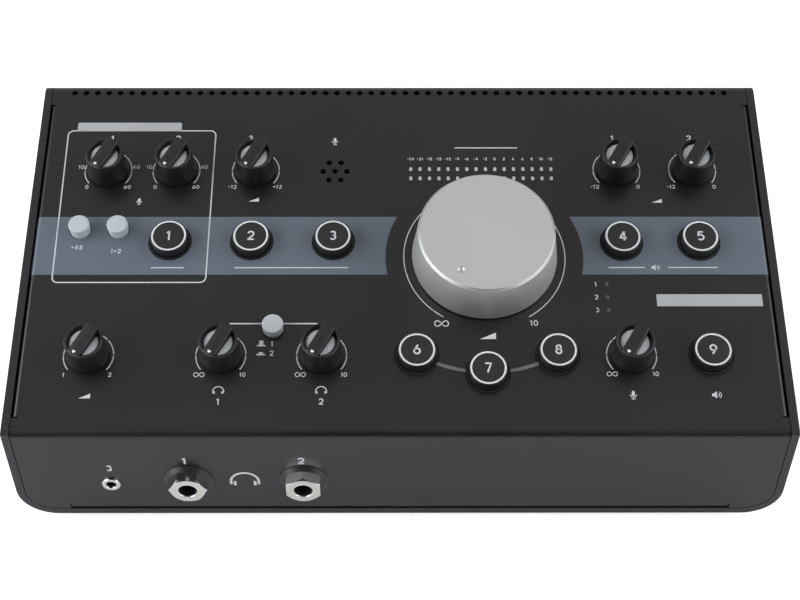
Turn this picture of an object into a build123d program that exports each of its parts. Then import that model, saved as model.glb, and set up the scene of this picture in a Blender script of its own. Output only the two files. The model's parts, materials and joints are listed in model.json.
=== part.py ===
from build123d import *
from math import cos, radians, sin, sqrt, tan
import os

os.makedirs("parts", exist_ok=True)

# Desktop monitor controller: a wedge-shaped metal case with a sloping control panel.
# Millimetres, +X to the user's right, +Y to the back, +Z up; the origin lies under the
# middle of the case, level with the soles of the feet.

# ---------------------------------------------------------------- case
case_width = 290.0
panel_length = 159.2  # control panel, front edge to rear edge
front_length = 48.9  # front face, top edge to base
panel_slope = 9.0  # degrees up towards the back
front_lean = 4.6  # degrees, the foot of the front face stands further forward
wall = 3.0  # outer wrap
corner_radius = 14.0  # lower corners of the wrap
edge_round = 1.0  # front corners of the wrap's sides
sheet = 1.5  # folded inner sheet and rear plate
through = 3.0  # how far a cut reaches on each side of a sheet's outer face
seam = 0.3  # gap between the inner sheet and the wrap
front_bend = 3.0  # outer bend radii of the inner sheet
rear_bend = 5.5  # and rear corners of the wrap's sides
side_bend = 2.0
foot_height = 2.5
foot_radius = 8.0
foot_inset = 23.0  # from the wrap's sides
foot_setback = 21.0  # from its front and rear edges
case_screw_inset = 45.0
case_screw_setback = 7.5
tongue_screw_setback = 7.0
lip_screw_inset = 40.0
lip_screw_drop = 11.0
flange_reach = 11.0  # foot flanges of the inner sheet and the rear plate
flange_inset = 19.7  # their ends, from the wrap's sides
flange_depth = 12.0  # side flanges of the inner sheet
side_flange_front = 7.3
side_flange_rear_gap = 13.0
lip_length = 16.0
notch = 0.6

# ---------------------------------------------------------------- fits
running = 0.05  # radial clearance of a turning shaft or a sliding stem
snug = 0.02  # radial clearance of pieces pushed together
thread_gap = 0.05  # radial clearance between a screw and its thread
clear = 0.3  # radial clearance of a piece that stands free in a hole

# ---------------------------------------------------------------- control layout on the panel
# Each place is (across from the middle, back from the front edge), as shares of the
# panel's half width and of its length.
knob_places = [
    (-0.7979, 0.7198),
    (-0.6117, 0.7198),
    (-0.3945, 0.7198),
    (0.5938, 0.7211),
    (0.8014, 0.7211),
    (-0.7993, 0.2023),
    (-0.4600, 0.2023),
    (-0.2014, 0.2023),
    (0.5938, 0.2023),
]
button_places = [
    (-0.6138, 0.5130),
    (-0.3958, 0.5130),
    (-0.1779, 0.5130),
    (0.5917, 0.5111),
    (0.7980, 0.5111),
    (0.0428, 0.2027),
    (0.2235, 0.1556),
    (0.4042, 0.2027),
    (0.7986, 0.2027),
]
latch_places = [(-0.8559, 0.5465), (-0.7538, 0.5465), (-0.3290, 0.2749)]
volume_place = (0.2241, 0.4711)
mic_place = (-0.1776, 0.7183)
meter_place = (0.2221, 0.7110)
status_places = [(0.5441, 0.3933), (0.5441, 0.3581), (0.5441, 0.3228)]
mic_hole_pitch = 4.72
mic_hole_radius = 1.15
mic_radius = 4.85
mic_height = 5.8
meter_columns = 16
meter_pitch = 3.715
meter_row_gap = 4.38
lamp_width = 1.2
lamp_length = 1.7
lamp_corner = 0.3
vent_count = 58
vent_side_gap = 8.95  # last hole to the inner sheet's edge
vent_radius = 1.2
vent_from_rear = 6.3
vent_depth = 2.2

# ---------------------------------------------------------------- small knobs
knob_base_radius = 8.0
knob_rim_radius = 7.1
knob_gap = 0.8  # under the knob
knob_rim_height = 12.0
cup_mouth_radius = 6.4
cup_floor_radius = 5.3
disc_top = 10.5
disc_thickness = 0.8
grip_width = 5.0
grip_reach = 6.6
grip_tip_height = 12.3
grip_tail_height = 14.2
pointer_angle = 31.0  # degrees left of straight to the front, the knob's minimum
shaft_radius = 3.0
shaft_flat = 1.6  # from the axis to the flat
shaft_top = 8.3
pot_width = 10.0
pot_length = 11.0

# ---------------------------------------------------------------- volume knob
volume_base_radius = 27.9
volume_side_radius = 25.85
volume_face_radius = 25.05
volume_height = 18.7
volume_edge = 0.8
volume_gap = 0.9
volume_skirt = 2.4
volume_roof = 4.0
volume_hub_radius = 7.5
volume_shaft_top = 12.6
volume_pot_width = 20.0
volume_pot_length = 22.0
dimple_angle = 30.6
dimple_reach = 19.4
dimple_ball = 1.6
dimple_lift = 0.6

# ---------------------------------------------------------------- push buttons
button_radius = 7.1
button_height = 4.66
button_travel = 1.5
button_foot = -0.8
button_ring_radius = 6.35
button_ring_width = 0.72
button_ring_depth = 0.7
stem_radius = 2.5
collar_width = 0.7
switch_width = 13.4

# ---------------------------------------------------------------- latching buttons
latch_radius = 4.0
latch_flange_radius = 3.9
latch_height = 4.8
latch_groove_foot = 2.3
latch_groove_top = 3.2
latch_groove_depth = 0.7
latch_edge = 0.6
latch_travel = 2.5
latch_rests = [0.0, 0.0, -1.0]  # the third is latched in
latch_foot = -2.0
latch_stem_radius = 1.5
latch_switch_width = 8.4

# ---------------------------------------------------------------- circuit boards
board = 1.6
board_corner = 2.0
main_board_depth = 9.0  # panel surface to the board's upper face
main_board_side_gap = 7.7  # to the inner sheet's edges
main_board_front = 14.0
main_board_rear_gap = 13.2
body_top = -2.0  # upper face of the pots and switches, from the panel surface
standoff_flats = 5.0
pillar_inset = 5.0  # corner pillars, from the board's sides and front edge
pillar_setback = 9.0  # from its rear edge
middle_pillar_share = -0.055  # front middle pillar, as a share of the half width
middle_pillar_inset = 3.5
middle_pillar_setback = 6.0
rear_board_span = 40.0
rear_board_side_gap = 9.7
rear_pillar_inset = 6.0
rear_pillar_share = 0.4  # inner pillars, as a share of the outer ones' distance
jack_board_span = 33.0
jack_board_margin = 6.0

# ---------------------------------------------------------------- screws
screw_radius = 1.5
screw_head_radius = 2.8
screw_head_height = 1.8
screw_length = 6.0

# ---------------------------------------------------------------- quarter-inch jacks
# Places on the front face are (across, down from the top edge), as shares of its half
# width and of its length; places on the rear plate are shares of its half width.
front_jack_places = [(-0.5469, 0.5746), (-0.2497, 0.5746)]
rear_level_share = 0.4073  # rear jack axes above the base, as a share of the rear height
rear_jack_places = [-0.466, -0.314, -0.162, -0.010, 0.142, 0.294]
jack_bore_radius = 3.25
jack_bore_depth = 31.0
jack_mouth = 0.4
jack_thread_radius = 4.7
jack_width = 15.6
jack_height = 13.6
jack_depth = 26.0
washer_radius = 9.5
washer_top_radius = 7.9
washer_thickness = 1.6
nut_flats = 12.7
nut_thickness = 3.2
nut_turns = [0.0, 30.0, 12.0, 41.0, 25.0, 3.0, 50.0, 18.0]

# ---------------------------------------------------------------- small jack, rear sockets
mini_place = (-0.7481, 0.6053)
mini_bore_radius = 1.8
mini_thread_radius = 2.7
mini_ring_radius = 3.5
mini_ring_height = 0.8
mini_ring_lip = 0.38  # thickness of its inner edge, over the jack's nose
mini_body = 7.0
mini_depth = 14.0
mini_bore_depth = 14.5
combo_places = [-0.857, -0.649]
combo_width = 25.6
combo_height = 30.8
combo_depth = 23.0
combo_nose_radius = 11.7
combo_nose = 1.0
combo_bore_radius = 3.3
combo_bore_depth = 22.0
combo_screw_reach = (9.5, 12.0)  # across and up from the socket's axis
pin_hole_radius = 1.3
pin_hole_depth = 12.0
pin_hole_reach = 7.4
latch_tab_width = 5.0
latch_tab_height = 2.4
latch_tab_thickness = 0.8
latch_tab_reach = 9.3
port_place = 0.480
port_width = 8.94
port_height = 3.26
port_depth = 7.4
port_shell = 0.3
port_tongue_width = 6.7
port_tongue_height = 0.7
port_tongue_setback = 1.2
inlet_place = 0.670
inlet_bore_radius = 2.85
inlet_bore_depth = 10.0
inlet_wall = 1.4
inlet_pin_radius = 1.05
inlet_pin_setback = 1.5
inlet_width = 9.0
inlet_height = 11.0
inlet_depth = 14.0
lock_place = 0.860
lock_width = 7.0
lock_height = 3.0

# ---------------------------------------------------------------- derived values
slope = radians(panel_slope)
lean = radians(front_lean)
front_run = front_length * sin(lean)
front_rise = front_length * cos(lean)
rear_rise = front_rise + panel_length * sin(slope)
case_depth = front_run + panel_length * cos(slope)
rear_level = rear_level_share * rear_rise
jack_stack = washer_thickness + nut_thickness
rear_over = jack_stack - sheet  # rear nuts beyond the wrap
jack_drop = front_jack_places[0][1] * front_length
nut_low = jack_drop + nut_flats / 2
front_over = jack_stack * cos(lean) + nut_low * sin(lean) - front_run  # front nuts beyond the wrap
front_y = -(case_depth + rear_over - front_over) / 2
rear_y = front_y + case_depth
rear_board_top = rear_level - jack_height / 2  # above the base
half_width = case_width / 2
inner_half = half_width - wall - seam
inner_radius = corner_radius - wall - seam
floor_z = foot_height + wall

crest = (0, front_y + front_run, foot_height + front_rise)
panel_plane = Plane(origin=crest, x_dir=(1, 0, 0), z_dir=(0, -sin(slope), cos(slope)))
front_plane = Plane(origin=crest, x_dir=(1, 0, 0), z_dir=(0, -cos(lean), sin(lean)))
rear_plane = Plane(origin=(0, rear_y, foot_height), x_dir=(-1, 0, 0), z_dir=(0, 1, 0))
socket_plane = rear_plane.offset(-sheet)  # outer face of the rear plate
wrap_plane = Plane(origin=(0, front_y, 0), x_dir=(1, 0, 0), z_dir=(0, -1, 0))


def on_panel(places):
    """Spots on the control panel, from shares of its half width and its length."""
    return [(across * half_width, back * panel_length) for across, back in places]


def on_front(places):
    """Spots on the front face, from shares of its half width and its length."""
    return [(across * half_width, -down * front_length) for across, down in places]


knob_spots = on_panel(knob_places)
button_spots = on_panel(button_places)
latch_spots = on_panel(latch_places)
status_spots = on_panel(status_places)
volume_spot, mic_spot, meter_spot = on_panel([volume_place, mic_place, meter_place])
front_jack_spots = on_front(front_jack_places)
mini_spot = on_front([mini_place])[0]
rear_jack_spots = [(place * inner_half, rear_level) for place in rear_jack_places]
combo_spots = [(place * inner_half, rear_board_top + combo_height / 2) for place in combo_places]
port_spot = (port_place * inner_half, rear_board_top + port_height / 2)
inlet_spot = (inlet_place * inner_half, rear_board_top + inlet_height / 2)
lock_spot = (lock_place * inner_half, rear_level)
foot_x = half_width - foot_inset
foot_spots = [(x, y) for x in (-foot_x, foot_x) for y in (front_y + foot_setback, rear_y - foot_setback)]
main_board_width = 2 * (inner_half - main_board_side_gap)
main_board_rear = panel_length - main_board_rear_gap
pillar_x = main_board_width / 2 - pillar_inset
pillar_rows = (main_board_front + pillar_inset, main_board_rear - pillar_setback)
standoff_spots = [(x, row) for x in (-pillar_x, pillar_x) for row in pillar_rows] + [
    (middle_pillar_share * half_width, main_board_front + middle_pillar_inset),
    (0.0, main_board_rear - middle_pillar_setback),
]
rear_board_width = 2 * (inner_half - rear_board_side_gap)
rear_pillar_x = rear_board_width / 2 - rear_pillar_inset
rear_pillar_inner_x = rear_pillar_share * rear_pillar_x
rear_standoff_x = [-rear_pillar_x, -rear_pillar_inner_x, rear_pillar_inner_x, rear_pillar_x]


def save(piece, name):
    """Write one finished piece under its own name."""
    piece.part.label = name
    export_step(piece.part, f"parts/{name}.step")


def posts(plane, spots, radius, low, high, mode=Mode.ADD):
    """Round posts between two heights over a plane."""
    with BuildSketch(plane.offset(low)) as outline:
        with Locations(*spots):
            Circle(radius)
    extrude(outline.sketch, amount=high - low, mode=mode)


def bores(plane, spots, radius, low, high):
    """Round holes between two heights over a plane."""
    posts(plane, spots, radius, low, high, Mode.SUBTRACT)


def blocks(plane, spots, width, height, low, high, mode=Mode.ADD):
    """Rectangular blocks or openings between two heights over a plane."""
    with BuildSketch(plane.offset(low)) as outline:
        with Locations(*spots):
            Rectangle(width, height)
    extrude(outline.sketch, amount=high - low, mode=mode)


def windows(plane, spots, gap, low, high, mode=Mode.ADD):
    """Rounded rectangular lamps, or the openings round them with a gap all round."""
    with BuildSketch(plane.offset(low)) as outline:
        with Locations(*spots):
            RectangleRounded(lamp_width + 2 * gap, lamp_length + 2 * gap, lamp_corner + gap)
    extrude(outline.sketch, amount=high - low, mode=mode)


def hexes(plane, spots, flats, low, high, turns=None):
    """Hexagonal posts measured across their flats."""
    turns = turns or [0.0] * len(spots)
    for spot, turn in zip(spots, turns):
        with BuildSketch(plane.offset(low)) as outline:
            with Locations(spot):
                RegularPolygon(flats / sqrt(3), 6, rotation=turn)
        extrude(outline.sketch, amount=high - low)


def screws(plane, spots, length):
    """Pan-head screws with a cross recess, seated on a plane and pointing down from it."""
    posts(plane, spots, screw_radius, -length, 0)
    posts(plane, spots, screw_head_radius, 0, screw_head_height)
    recess = screw_head_height / 2
    blocks(plane, spots, screw_head_radius, 0.6, recess, screw_head_height, Mode.SUBTRACT)
    blocks(plane, spots, 0.6, screw_head_radius, recess, screw_head_height, Mode.SUBTRACT)


def side_outline(front_round, rear_round):
    """Side view of the case with its two upper corners rounded."""
    front_corner = (front_y + front_run, foot_height + front_rise)
    rear_corner = (rear_y, foot_height + rear_rise)
    with BuildSketch(Plane.YZ) as outline:
        with BuildLine():
            Polyline((front_y, foot_height), front_corner, rear_corner, (rear_y, foot_height), close=True)
        make_face()
        for corner, corner_round in ((front_corner, front_round), (rear_corner, rear_round)):
            fillet(outline.vertices().sort_by_distance(corner)[0], radius=corner_round)
    return outline


def tub_outline(half, low, radius):
    """Front view of the case's inside or outside: square above, rounded below."""
    high = foot_height + rear_rise + wall
    with BuildSketch(wrap_plane) as outline:
        with BuildLine():
            FilletPolyline((-half, high), (-half, low), (half, low), (half, high), radius=radius)
            Line((half, high), (-half, high))
        make_face()
    return outline.sketch


def at(plane, spot, height=0.0):
    """Parallel plane whose origin is one spot on a plane, at a height over it."""
    origin = plane.from_local_coords((spot[0], spot[1], height))
    return Plane(origin=origin, x_dir=plane.x_dir, z_dir=plane.z_dir)


def turn(plane, profile, mode=Mode.ADD):
    """Turned piece about a plane's normal, from (radius, height) points."""
    with BuildSketch(Plane(origin=plane.origin, x_dir=plane.x_dir, z_dir=-plane.y_dir)) as outline:
        with BuildLine():
            Polyline(*profile, close=True)
        make_face()
    revolve(outline.sketch, axis=Axis(plane.origin, plane.z_dir), mode=mode)


def flatted(plane, radius, flat, low, high, mode=Mode.ADD):
    """Round shaft or socket with one flat along it."""
    with BuildSketch(plane.offset(low)) as outline:
        Circle(radius)
        with Locations((0, flat + radius)):
            Rectangle(2 * radius, 2 * radius, mode=Mode.SUBTRACT)
    extrude(outline.sketch, amount=high - low, mode=mode)


# ---------------------------------------------------------------- outer wrap
case_screw_x = [case_screw_inset - half_width, 0.0, half_width - case_screw_inset]
front_flange_y = front_y + case_screw_setback
rear_flange_y = rear_y - sheet - tongue_screw_setback
case_screw_spots = [(x, y) for x in case_screw_x for y in (front_flange_y, rear_flange_y)]

with BuildPart() as outer_shell:
    extrude(tub_outline(case_width / 2, foot_height, corner_radius), amount=-case_depth)
    inside = tub_outline(case_width / 2 - wall, floor_z, corner_radius - wall)
    extrude(inside, amount=-case_depth, mode=Mode.SUBTRACT)
    side_view = side_outline(edge_round, rear_bend)
    extrude(side_view.sketch, amount=case_width / 2, both=True, mode=Mode.INTERSECT)
    bores(Plane.XY, case_screw_spots, screw_radius + clear, foot_height, floor_z)
save(outer_shell, "outer_shell")

# ---------------------------------------------------------------- folded inner sheet
side_flange_rear = panel_length - side_flange_rear_gap
front_flange_half = half_width - flange_inset
lip_screw_x = half_width - lip_screw_inset
lip_screw_z = rear_rise - lip_screw_drop
lip_screw_spots = [(share * lip_screw_x, lip_screw_z) for share in (-1, -1 / 3, 1 / 3, 1)]

with BuildPart() as top_panel:
    with BuildSketch(Plane.YZ) as sheet_outline:
        add(side_outline(front_bend, rear_bend).sketch_local)
        offset(amount=-sheet, mode=Mode.SUBTRACT)
        with Locations((rear_y, foot_height)):
            below_lip = (Align.CENTER, Align.MIN)
            Rectangle(3 * sheet, rear_rise - lip_length, align=below_lip, mode=Mode.SUBTRACT)
        with Locations((front_y + front_run + sheet, foot_height)):
            behind_front = (Align.MIN, Align.CENTER)
            Rectangle(case_depth, 3 * sheet, align=behind_front, mode=Mode.SUBTRACT)
    extrude(sheet_outline.sketch, amount=inner_half, both=True)
    extrude(tub_outline(inner_half, floor_z + seam, inner_radius), amount=-case_depth, mode=Mode.INTERSECT)
    # side flanges, bent down between two relief notches on each side
    notch_length = side_flange_rear - side_flange_front + 2 * notch
    side_middle = (side_flange_front + side_flange_rear) / 2
    for side in (-1, 1):
        edge_spot = (side * (inner_half - side_bend / 2), side_middle)
        notch_width = side_bend + 2 * seam
        blocks(panel_plane, [edge_spot], notch_width, notch_length, -through, through, Mode.SUBTRACT)
    section = Plane(
        origin=panel_plane.from_local_coords((0, side_flange_front, 0)),
        x_dir=(1, 0, 0),
        z_dir=-panel_plane.y_dir,
    )
    root = inner_half - side_bend - 2 * seam
    for side in (-1, 1):
        with BuildSketch(section) as flange:
            with BuildLine():
                Polyline(
                    (side * root, 0),
                    (side * inner_half, 0),
                    (side * inner_half, -flange_depth),
                    (side * (inner_half - sheet), -flange_depth),
                    (side * (inner_half - sheet), -sheet),
                    (side * root, -sheet),
                    close=True,
                )
            make_face()
            corners = flange.vertices().sort_by(Axis.X, reverse=side > 0)
            outer_corner = corners.filter_by_position(Axis.Y, -0.01, 0.01)[0]
            inner_corner = corners.filter_by_position(Axis.Y, -sheet - 0.01, -sheet + 0.01)[0]
            fillet(outer_corner, radius=side_bend)
            fillet(inner_corner, radius=side_bend - sheet)
        extrude(flange.sketch, amount=-(side_flange_rear - side_flange_front))
    # bottom flange behind the foot of the front face
    foot_y = front_y + wall * tan(lean)
    rise = side_bend + notch
    lower = foot_y + rise * tan(lean)
    relief_width = 2 * (front_flange_half + notch)
    blocks(Plane.XY, [(0, foot_y)], relief_width, 12 * sheet, 0, floor_z + rise, Mode.SUBTRACT)
    with BuildSketch(Plane.YZ) as foot_flange:
        with BuildLine():
            Polyline(
                (foot_y, floor_z),
                (lower, floor_z + rise),
                (lower + sheet / cos(lean), floor_z + rise),
                (foot_y + (sheet + sheet * sin(lean)) / cos(lean), floor_z + sheet),
                (foot_y + flange_reach, floor_z + sheet),
                (foot_y + flange_reach, floor_z),
                close=True,
            )
        make_face()
        bend = [v for v in foot_flange.vertices() if abs(v.X - foot_y) < 0.01]
        fillet(bend, radius=side_bend)
    extrude(foot_flange.sketch, amount=front_flange_half, both=True)
    # openings for the controls
    pot_hole = shaft_radius + running + 0.5 + clear
    bores(panel_plane, knob_spots + [volume_spot], pot_hole, -through, through)
    collar_outer = button_radius + clear + collar_width
    bores(panel_plane, button_spots, collar_outer + clear, -through, through)
    bores(panel_plane, latch_spots, latch_flange_radius + clear, -through, through)
    first_column = meter_spot[0] - (meter_columns - 1) / 2 * meter_pitch
    meter_spots = [
        (first_column + column * meter_pitch, meter_spot[1] + row * meter_row_gap / 2)
        for column in range(meter_columns)
        for row in (-1, 1)
    ]
    windows(panel_plane, meter_spots + status_spots, running, -through, through, Mode.SUBTRACT)
    with BuildSketch(panel_plane.offset(-through)) as mic_holes:
        with Locations(mic_spot):
            Circle(mic_hole_radius)
            with PolarLocations(mic_hole_pitch, 6):
                Circle(mic_hole_radius)
    extrude(mic_holes.sketch, amount=2 * through, mode=Mode.SUBTRACT)
    vent_line = panel_length - vent_from_rear
    vent_pitch = 2 * (inner_half - vent_side_gap) / (vent_count - 1)
    vent_spots = [((slot - (vent_count - 1) / 2) * vent_pitch, vent_line) for slot in range(vent_count)]
    bores(panel_plane, vent_spots, vent_radius, -vent_depth, vent_depth)
    # openings for the front jacks, threads for the screws
    bores(front_plane, front_jack_spots, jack_thread_radius + clear, -through, through)
    bores(front_plane, [mini_spot], mini_thread_radius + clear, -through, through)
    flange_holes = [(x, front_flange_y) for x in case_screw_x]
    bores(Plane.XY, flange_holes, screw_radius + thread_gap, floor_z, floor_z + sheet)
    bores(rear_plane, lip_screw_spots, screw_radius + clear, -sheet, 0)
save(top_panel, "top_panel")

# ---------------------------------------------------------------- rear plate
rear_top = foot_height + rear_rise - sheet - rear_bend  # clears the bend above it
combo_screw_spots = [
    (x + side * combo_screw_reach[0], z + side * combo_screw_reach[1])
    for x, z in combo_spots
    for side in (-1, 1)
]

with BuildPart() as rear_panel:
    with BuildSketch(socket_plane) as plate:
        with BuildLine():
            FilletPolyline(
                (-inner_half, rear_top - foot_height),
                (-inner_half, wall + seam),
                (inner_half, wall + seam),
                (inner_half, rear_top - foot_height),
                radius=inner_radius,
            )
            Line((inner_half, rear_top - foot_height), (-inner_half, rear_top - foot_height))
        make_face()
    extrude(plate.sketch, amount=-sheet)
    tongue = (0, rear_y - sheet - flange_reach / 2)
    blocks(Plane.XY, [tongue], 2 * front_flange_half, flange_reach, floor_z, floor_z + sheet)
    outer_foot = rear_panel.edges().filter_by(Axis.X).group_by(Axis.Z)[0].sort_by(Axis.Y)[-1]
    fillet(outer_foot, radius=sheet * 0.6)
    bores(socket_plane, rear_jack_spots, jack_thread_radius + clear, -sheet, 0)
    bores(socket_plane, combo_spots, combo_nose_radius + clear, -sheet, 0)
    bores(socket_plane, combo_screw_spots, screw_radius + clear, -sheet, 0)
    with BuildSketch(socket_plane) as port_hole:
        with Locations(port_spot):
            SlotOverall(port_width + 2 * clear, port_height + 2 * clear)
    extrude(port_hole.sketch, amount=-sheet, mode=Mode.SUBTRACT)
    bores(socket_plane, [inlet_spot], inlet_bore_radius + inlet_wall + clear, -sheet, 0)
    with BuildSketch(socket_plane) as lock_slot:
        with Locations(lock_spot):
            SlotOverall(lock_width, lock_height)
    extrude(lock_slot.sketch, amount=-sheet, mode=Mode.SUBTRACT)
    bores(rear_plane, lip_screw_spots, screw_radius + thread_gap, -2 * sheet, -sheet)
    tongue_holes = [(x, rear_flange_y) for x in case_screw_x]
    bores(Plane.XY, tongue_holes, screw_radius + thread_gap, floor_z, floor_z + sheet)
save(rear_panel, "rear_panel")

# ---------------------------------------------------------------- feet and outside screws
with BuildPart() as rubber_feet:
    posts(Plane.XY, foot_spots, foot_radius, 0, foot_height)
    soles = rubber_feet.edges().filter_by(GeomType.CIRCLE).group_by(Axis.Z)[0]
    chamfer(soles, length=0.5)
save(rubber_feet, "rubber_feet")

underside = Plane(origin=(0, 0, foot_height), x_dir=(-1, 0, 0), z_dir=(0, 0, -1))
with BuildPart() as case_screws:
    screws(underside, [(-x, y) for x, y in case_screw_spots], screw_length)
    screws(rear_plane, lip_screw_spots, screw_length)
    screws(socket_plane, combo_screw_spots, screw_length)
save(case_screws, "case_screws")

# ---------------------------------------------------------------- main circuit board under the panel
main_board_top = -main_board_depth
main_board_low = main_board_top - board
main_spot = (0, (main_board_front + main_board_rear) / 2)
main_span = main_board_rear - main_board_front

with BuildPart() as main_board:
    blocks(panel_plane, [main_spot], main_board_width, main_span, main_board_low, main_board_top)
    fillet(main_board.edges().filter_by(Axis(crest, panel_plane.z_dir)), radius=board_corner)
    bores(panel_plane, standoff_spots, screw_radius + clear, main_board_low, main_board_top)
save(main_board, "main_board")


board_rear_y = rear_y - 2 * sheet - 1.0
board_middle_y = board_rear_y - rear_board_span / 2
board_top_z = foot_height + rear_board_top
board_low_z = board_top_z - board
rear_board_spot = (0, board_middle_y)
rear_standoff_spots = [(x, board_rear_y - rear_board_span + 5.0) for x in rear_standoff_x]

with BuildPart() as rear_board:
    blocks(Plane.XY, [rear_board_spot], rear_board_width, rear_board_span, board_low_z, board_top_z)
    fillet(rear_board.edges().filter_by(Axis.Z), radius=board_corner)
    bores(Plane.XY, rear_standoff_spots, screw_radius + clear, board_low_z, board_top_z)
save(rear_board, "rear_board")

jack_board_level = -jack_drop - jack_height / 2 - board / 2
jack_board_middle = (mini_spot[0] + front_jack_spots[-1][0]) / 2
jack_board_width = front_jack_spots[-1][0] - mini_spot[0] + jack_width + 2 * jack_board_margin
jack_board_rear = -2 * sheet - jack_board_span

with BuildPart() as jack_board:
    slab = [(jack_board_middle, jack_board_level)]
    blocks(front_plane, slab, jack_board_width, board, jack_board_rear, -2 * sheet)
save(jack_board, "jack_board")

# ---------------------------------------------------------------- board pillars and their screws
pillar_plane = Plane(origin=(0, 0, 0), x_dir=(1, 0, 0), z_dir=(0, 0, 1))
pillar_bore = screw_radius + thread_gap

with BuildPart() as standoffs:
    hexes(panel_plane, standoff_spots, standoff_flats, main_board_top, -sheet)
    bores(panel_plane, standoff_spots, pillar_bore, main_board_top, main_board_top + screw_length)
    hexes(pillar_plane, rear_standoff_spots, standoff_flats, floor_z, board_low_z)
    bores(pillar_plane, rear_standoff_spots, pillar_bore, board_low_z - screw_length, board_low_z)
save(standoffs, "standoffs")

board_underside = Plane(
    origin=panel_plane.from_local_coords((0, 0, main_board_low)),
    x_dir=(-1, 0, 0),
    z_dir=-panel_plane.z_dir,
)
with BuildPart() as board_screws:
    screws(board_underside, [(-u, v) for u, v in standoff_spots], screw_length)
    screws(pillar_plane.offset(board_top_z), rear_standoff_spots, screw_length)
save(board_screws, "board_screws")

# ---------------------------------------------------------------- ribbon cables with their plugs
ribbon = 0.9
ribbon_width = 20.0
plug_width = 24.0
plug_depth = 5.0
plug_height = 6.0
rear_ribbon_x = -20.0
front_ribbon_x = (front_jack_spots[0][0] + front_jack_spots[1][0]) / 2
upper_spot = (rear_ribbon_x, 0.628 * panel_length)  # the main board's plugs, on the panel plane
over_spot = (front_ribbon_x, main_board_front + 30.0)
plug_low = main_board_low - plug_height

with BuildPart() as ribbon_cables:
    # from the main board down to the rear board
    rear_plug_y = board_rear_y - rear_board_span + plug_depth
    rear_plug_top = board_top_z + plug_height
    upper = panel_plane.from_local_coords((upper_spot[0], upper_spot[1], plug_low))
    blocks(panel_plane, [upper_spot], plug_width, plug_depth, plug_low, main_board_low)
    blocks(Plane.XY, [(rear_ribbon_x, rear_plug_y)], plug_width, plug_depth, board_top_z, rear_plug_top)
    with BuildSketch(Plane.YZ.offset(rear_ribbon_x)) as rear_run:
        with BuildLine() as rear_path:
            FilletPolyline(
                (upper.Y, upper.Z + 1),
                (upper.Y, upper.Z - 5),
                (rear_plug_y, rear_plug_top + 5),
                (rear_plug_y, rear_plug_top - 1),
                radius=3.0,
            )
        trace(rear_path.line, line_width=ribbon)
    extrude(rear_run.sketch, amount=ribbon_width / 2, both=True)
    # from the main board down to the front jack board
    jack_board_top = (front_ribbon_x, jack_board_level + board / 2, jack_board_rear + plug_depth)
    lower_origin = front_plane.from_local_coords(jack_board_top)
    lower_plane = Plane(origin=lower_origin, x_dir=(1, 0, 0), z_dir=front_plane.y_dir)
    blocks(lower_plane, [(0, 0)], plug_width, plug_depth, 0, plug_height)
    lower = lower_plane.from_local_coords((0, 0, plug_height))
    over = panel_plane.from_local_coords((over_spot[0], over_spot[1], plug_low))
    blocks(panel_plane, [over_spot], plug_width, plug_depth, plug_low, main_board_low)
    with BuildSketch(Plane.YZ.offset(front_ribbon_x)) as front_run_sketch:
        with BuildLine() as front_path:
            FilletPolyline(
                (over.Y, over.Z + 1),
                (over.Y, over.Z - 4),
                (lower.Y, lower.Z + 4),
                (lower.Y, lower.Z - 1),
                radius=2.0,
            )
        trace(front_path.line, line_width=ribbon)
    extrude(front_run_sketch.sketch, amount=ribbon_width / 2, both=True)
save(ribbon_cables, "ribbon_cables")

# ---------------------------------------------------------------- pots, their shafts and knobs
pot_floor = 0.6  # under the shaft
bush_radius = shaft_radius + running + 0.5
bush_top = 0.4
bush_foot = main_board_top + pot_floor
shaft_foot = bush_foot + 0.1
shaft_step = 0.6

with BuildPart() as small_pots:
    blocks(panel_plane, knob_spots, pot_width, pot_length, main_board_top, body_top)
    posts(panel_plane, knob_spots, bush_radius, body_top, bush_top)
    bores(panel_plane, knob_spots, shaft_radius + running, bush_foot, bush_top)
save(small_pots, "small_pots")

with BuildPart() as volume_pot:
    blocks(panel_plane, [volume_spot], volume_pot_width, volume_pot_length, main_board_top, body_top)
    posts(panel_plane, [volume_spot], bush_radius, body_top, bush_top)
    bores(panel_plane, [volume_spot], shaft_radius + running, bush_foot, bush_top)
save(volume_pot, "volume_pot")


def make_shaft(name, spot, top):
    """Pot shaft, round in its bush and flatted where the knob is pushed on."""
    axis_plane = at(panel_plane, spot)
    with BuildPart() as shaft:
        posts(axis_plane, [(0, 0)], shaft_radius, shaft_foot, shaft_step)
        flatted(axis_plane, shaft_radius, shaft_flat, shaft_step, top)
    save(shaft, name)


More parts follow.
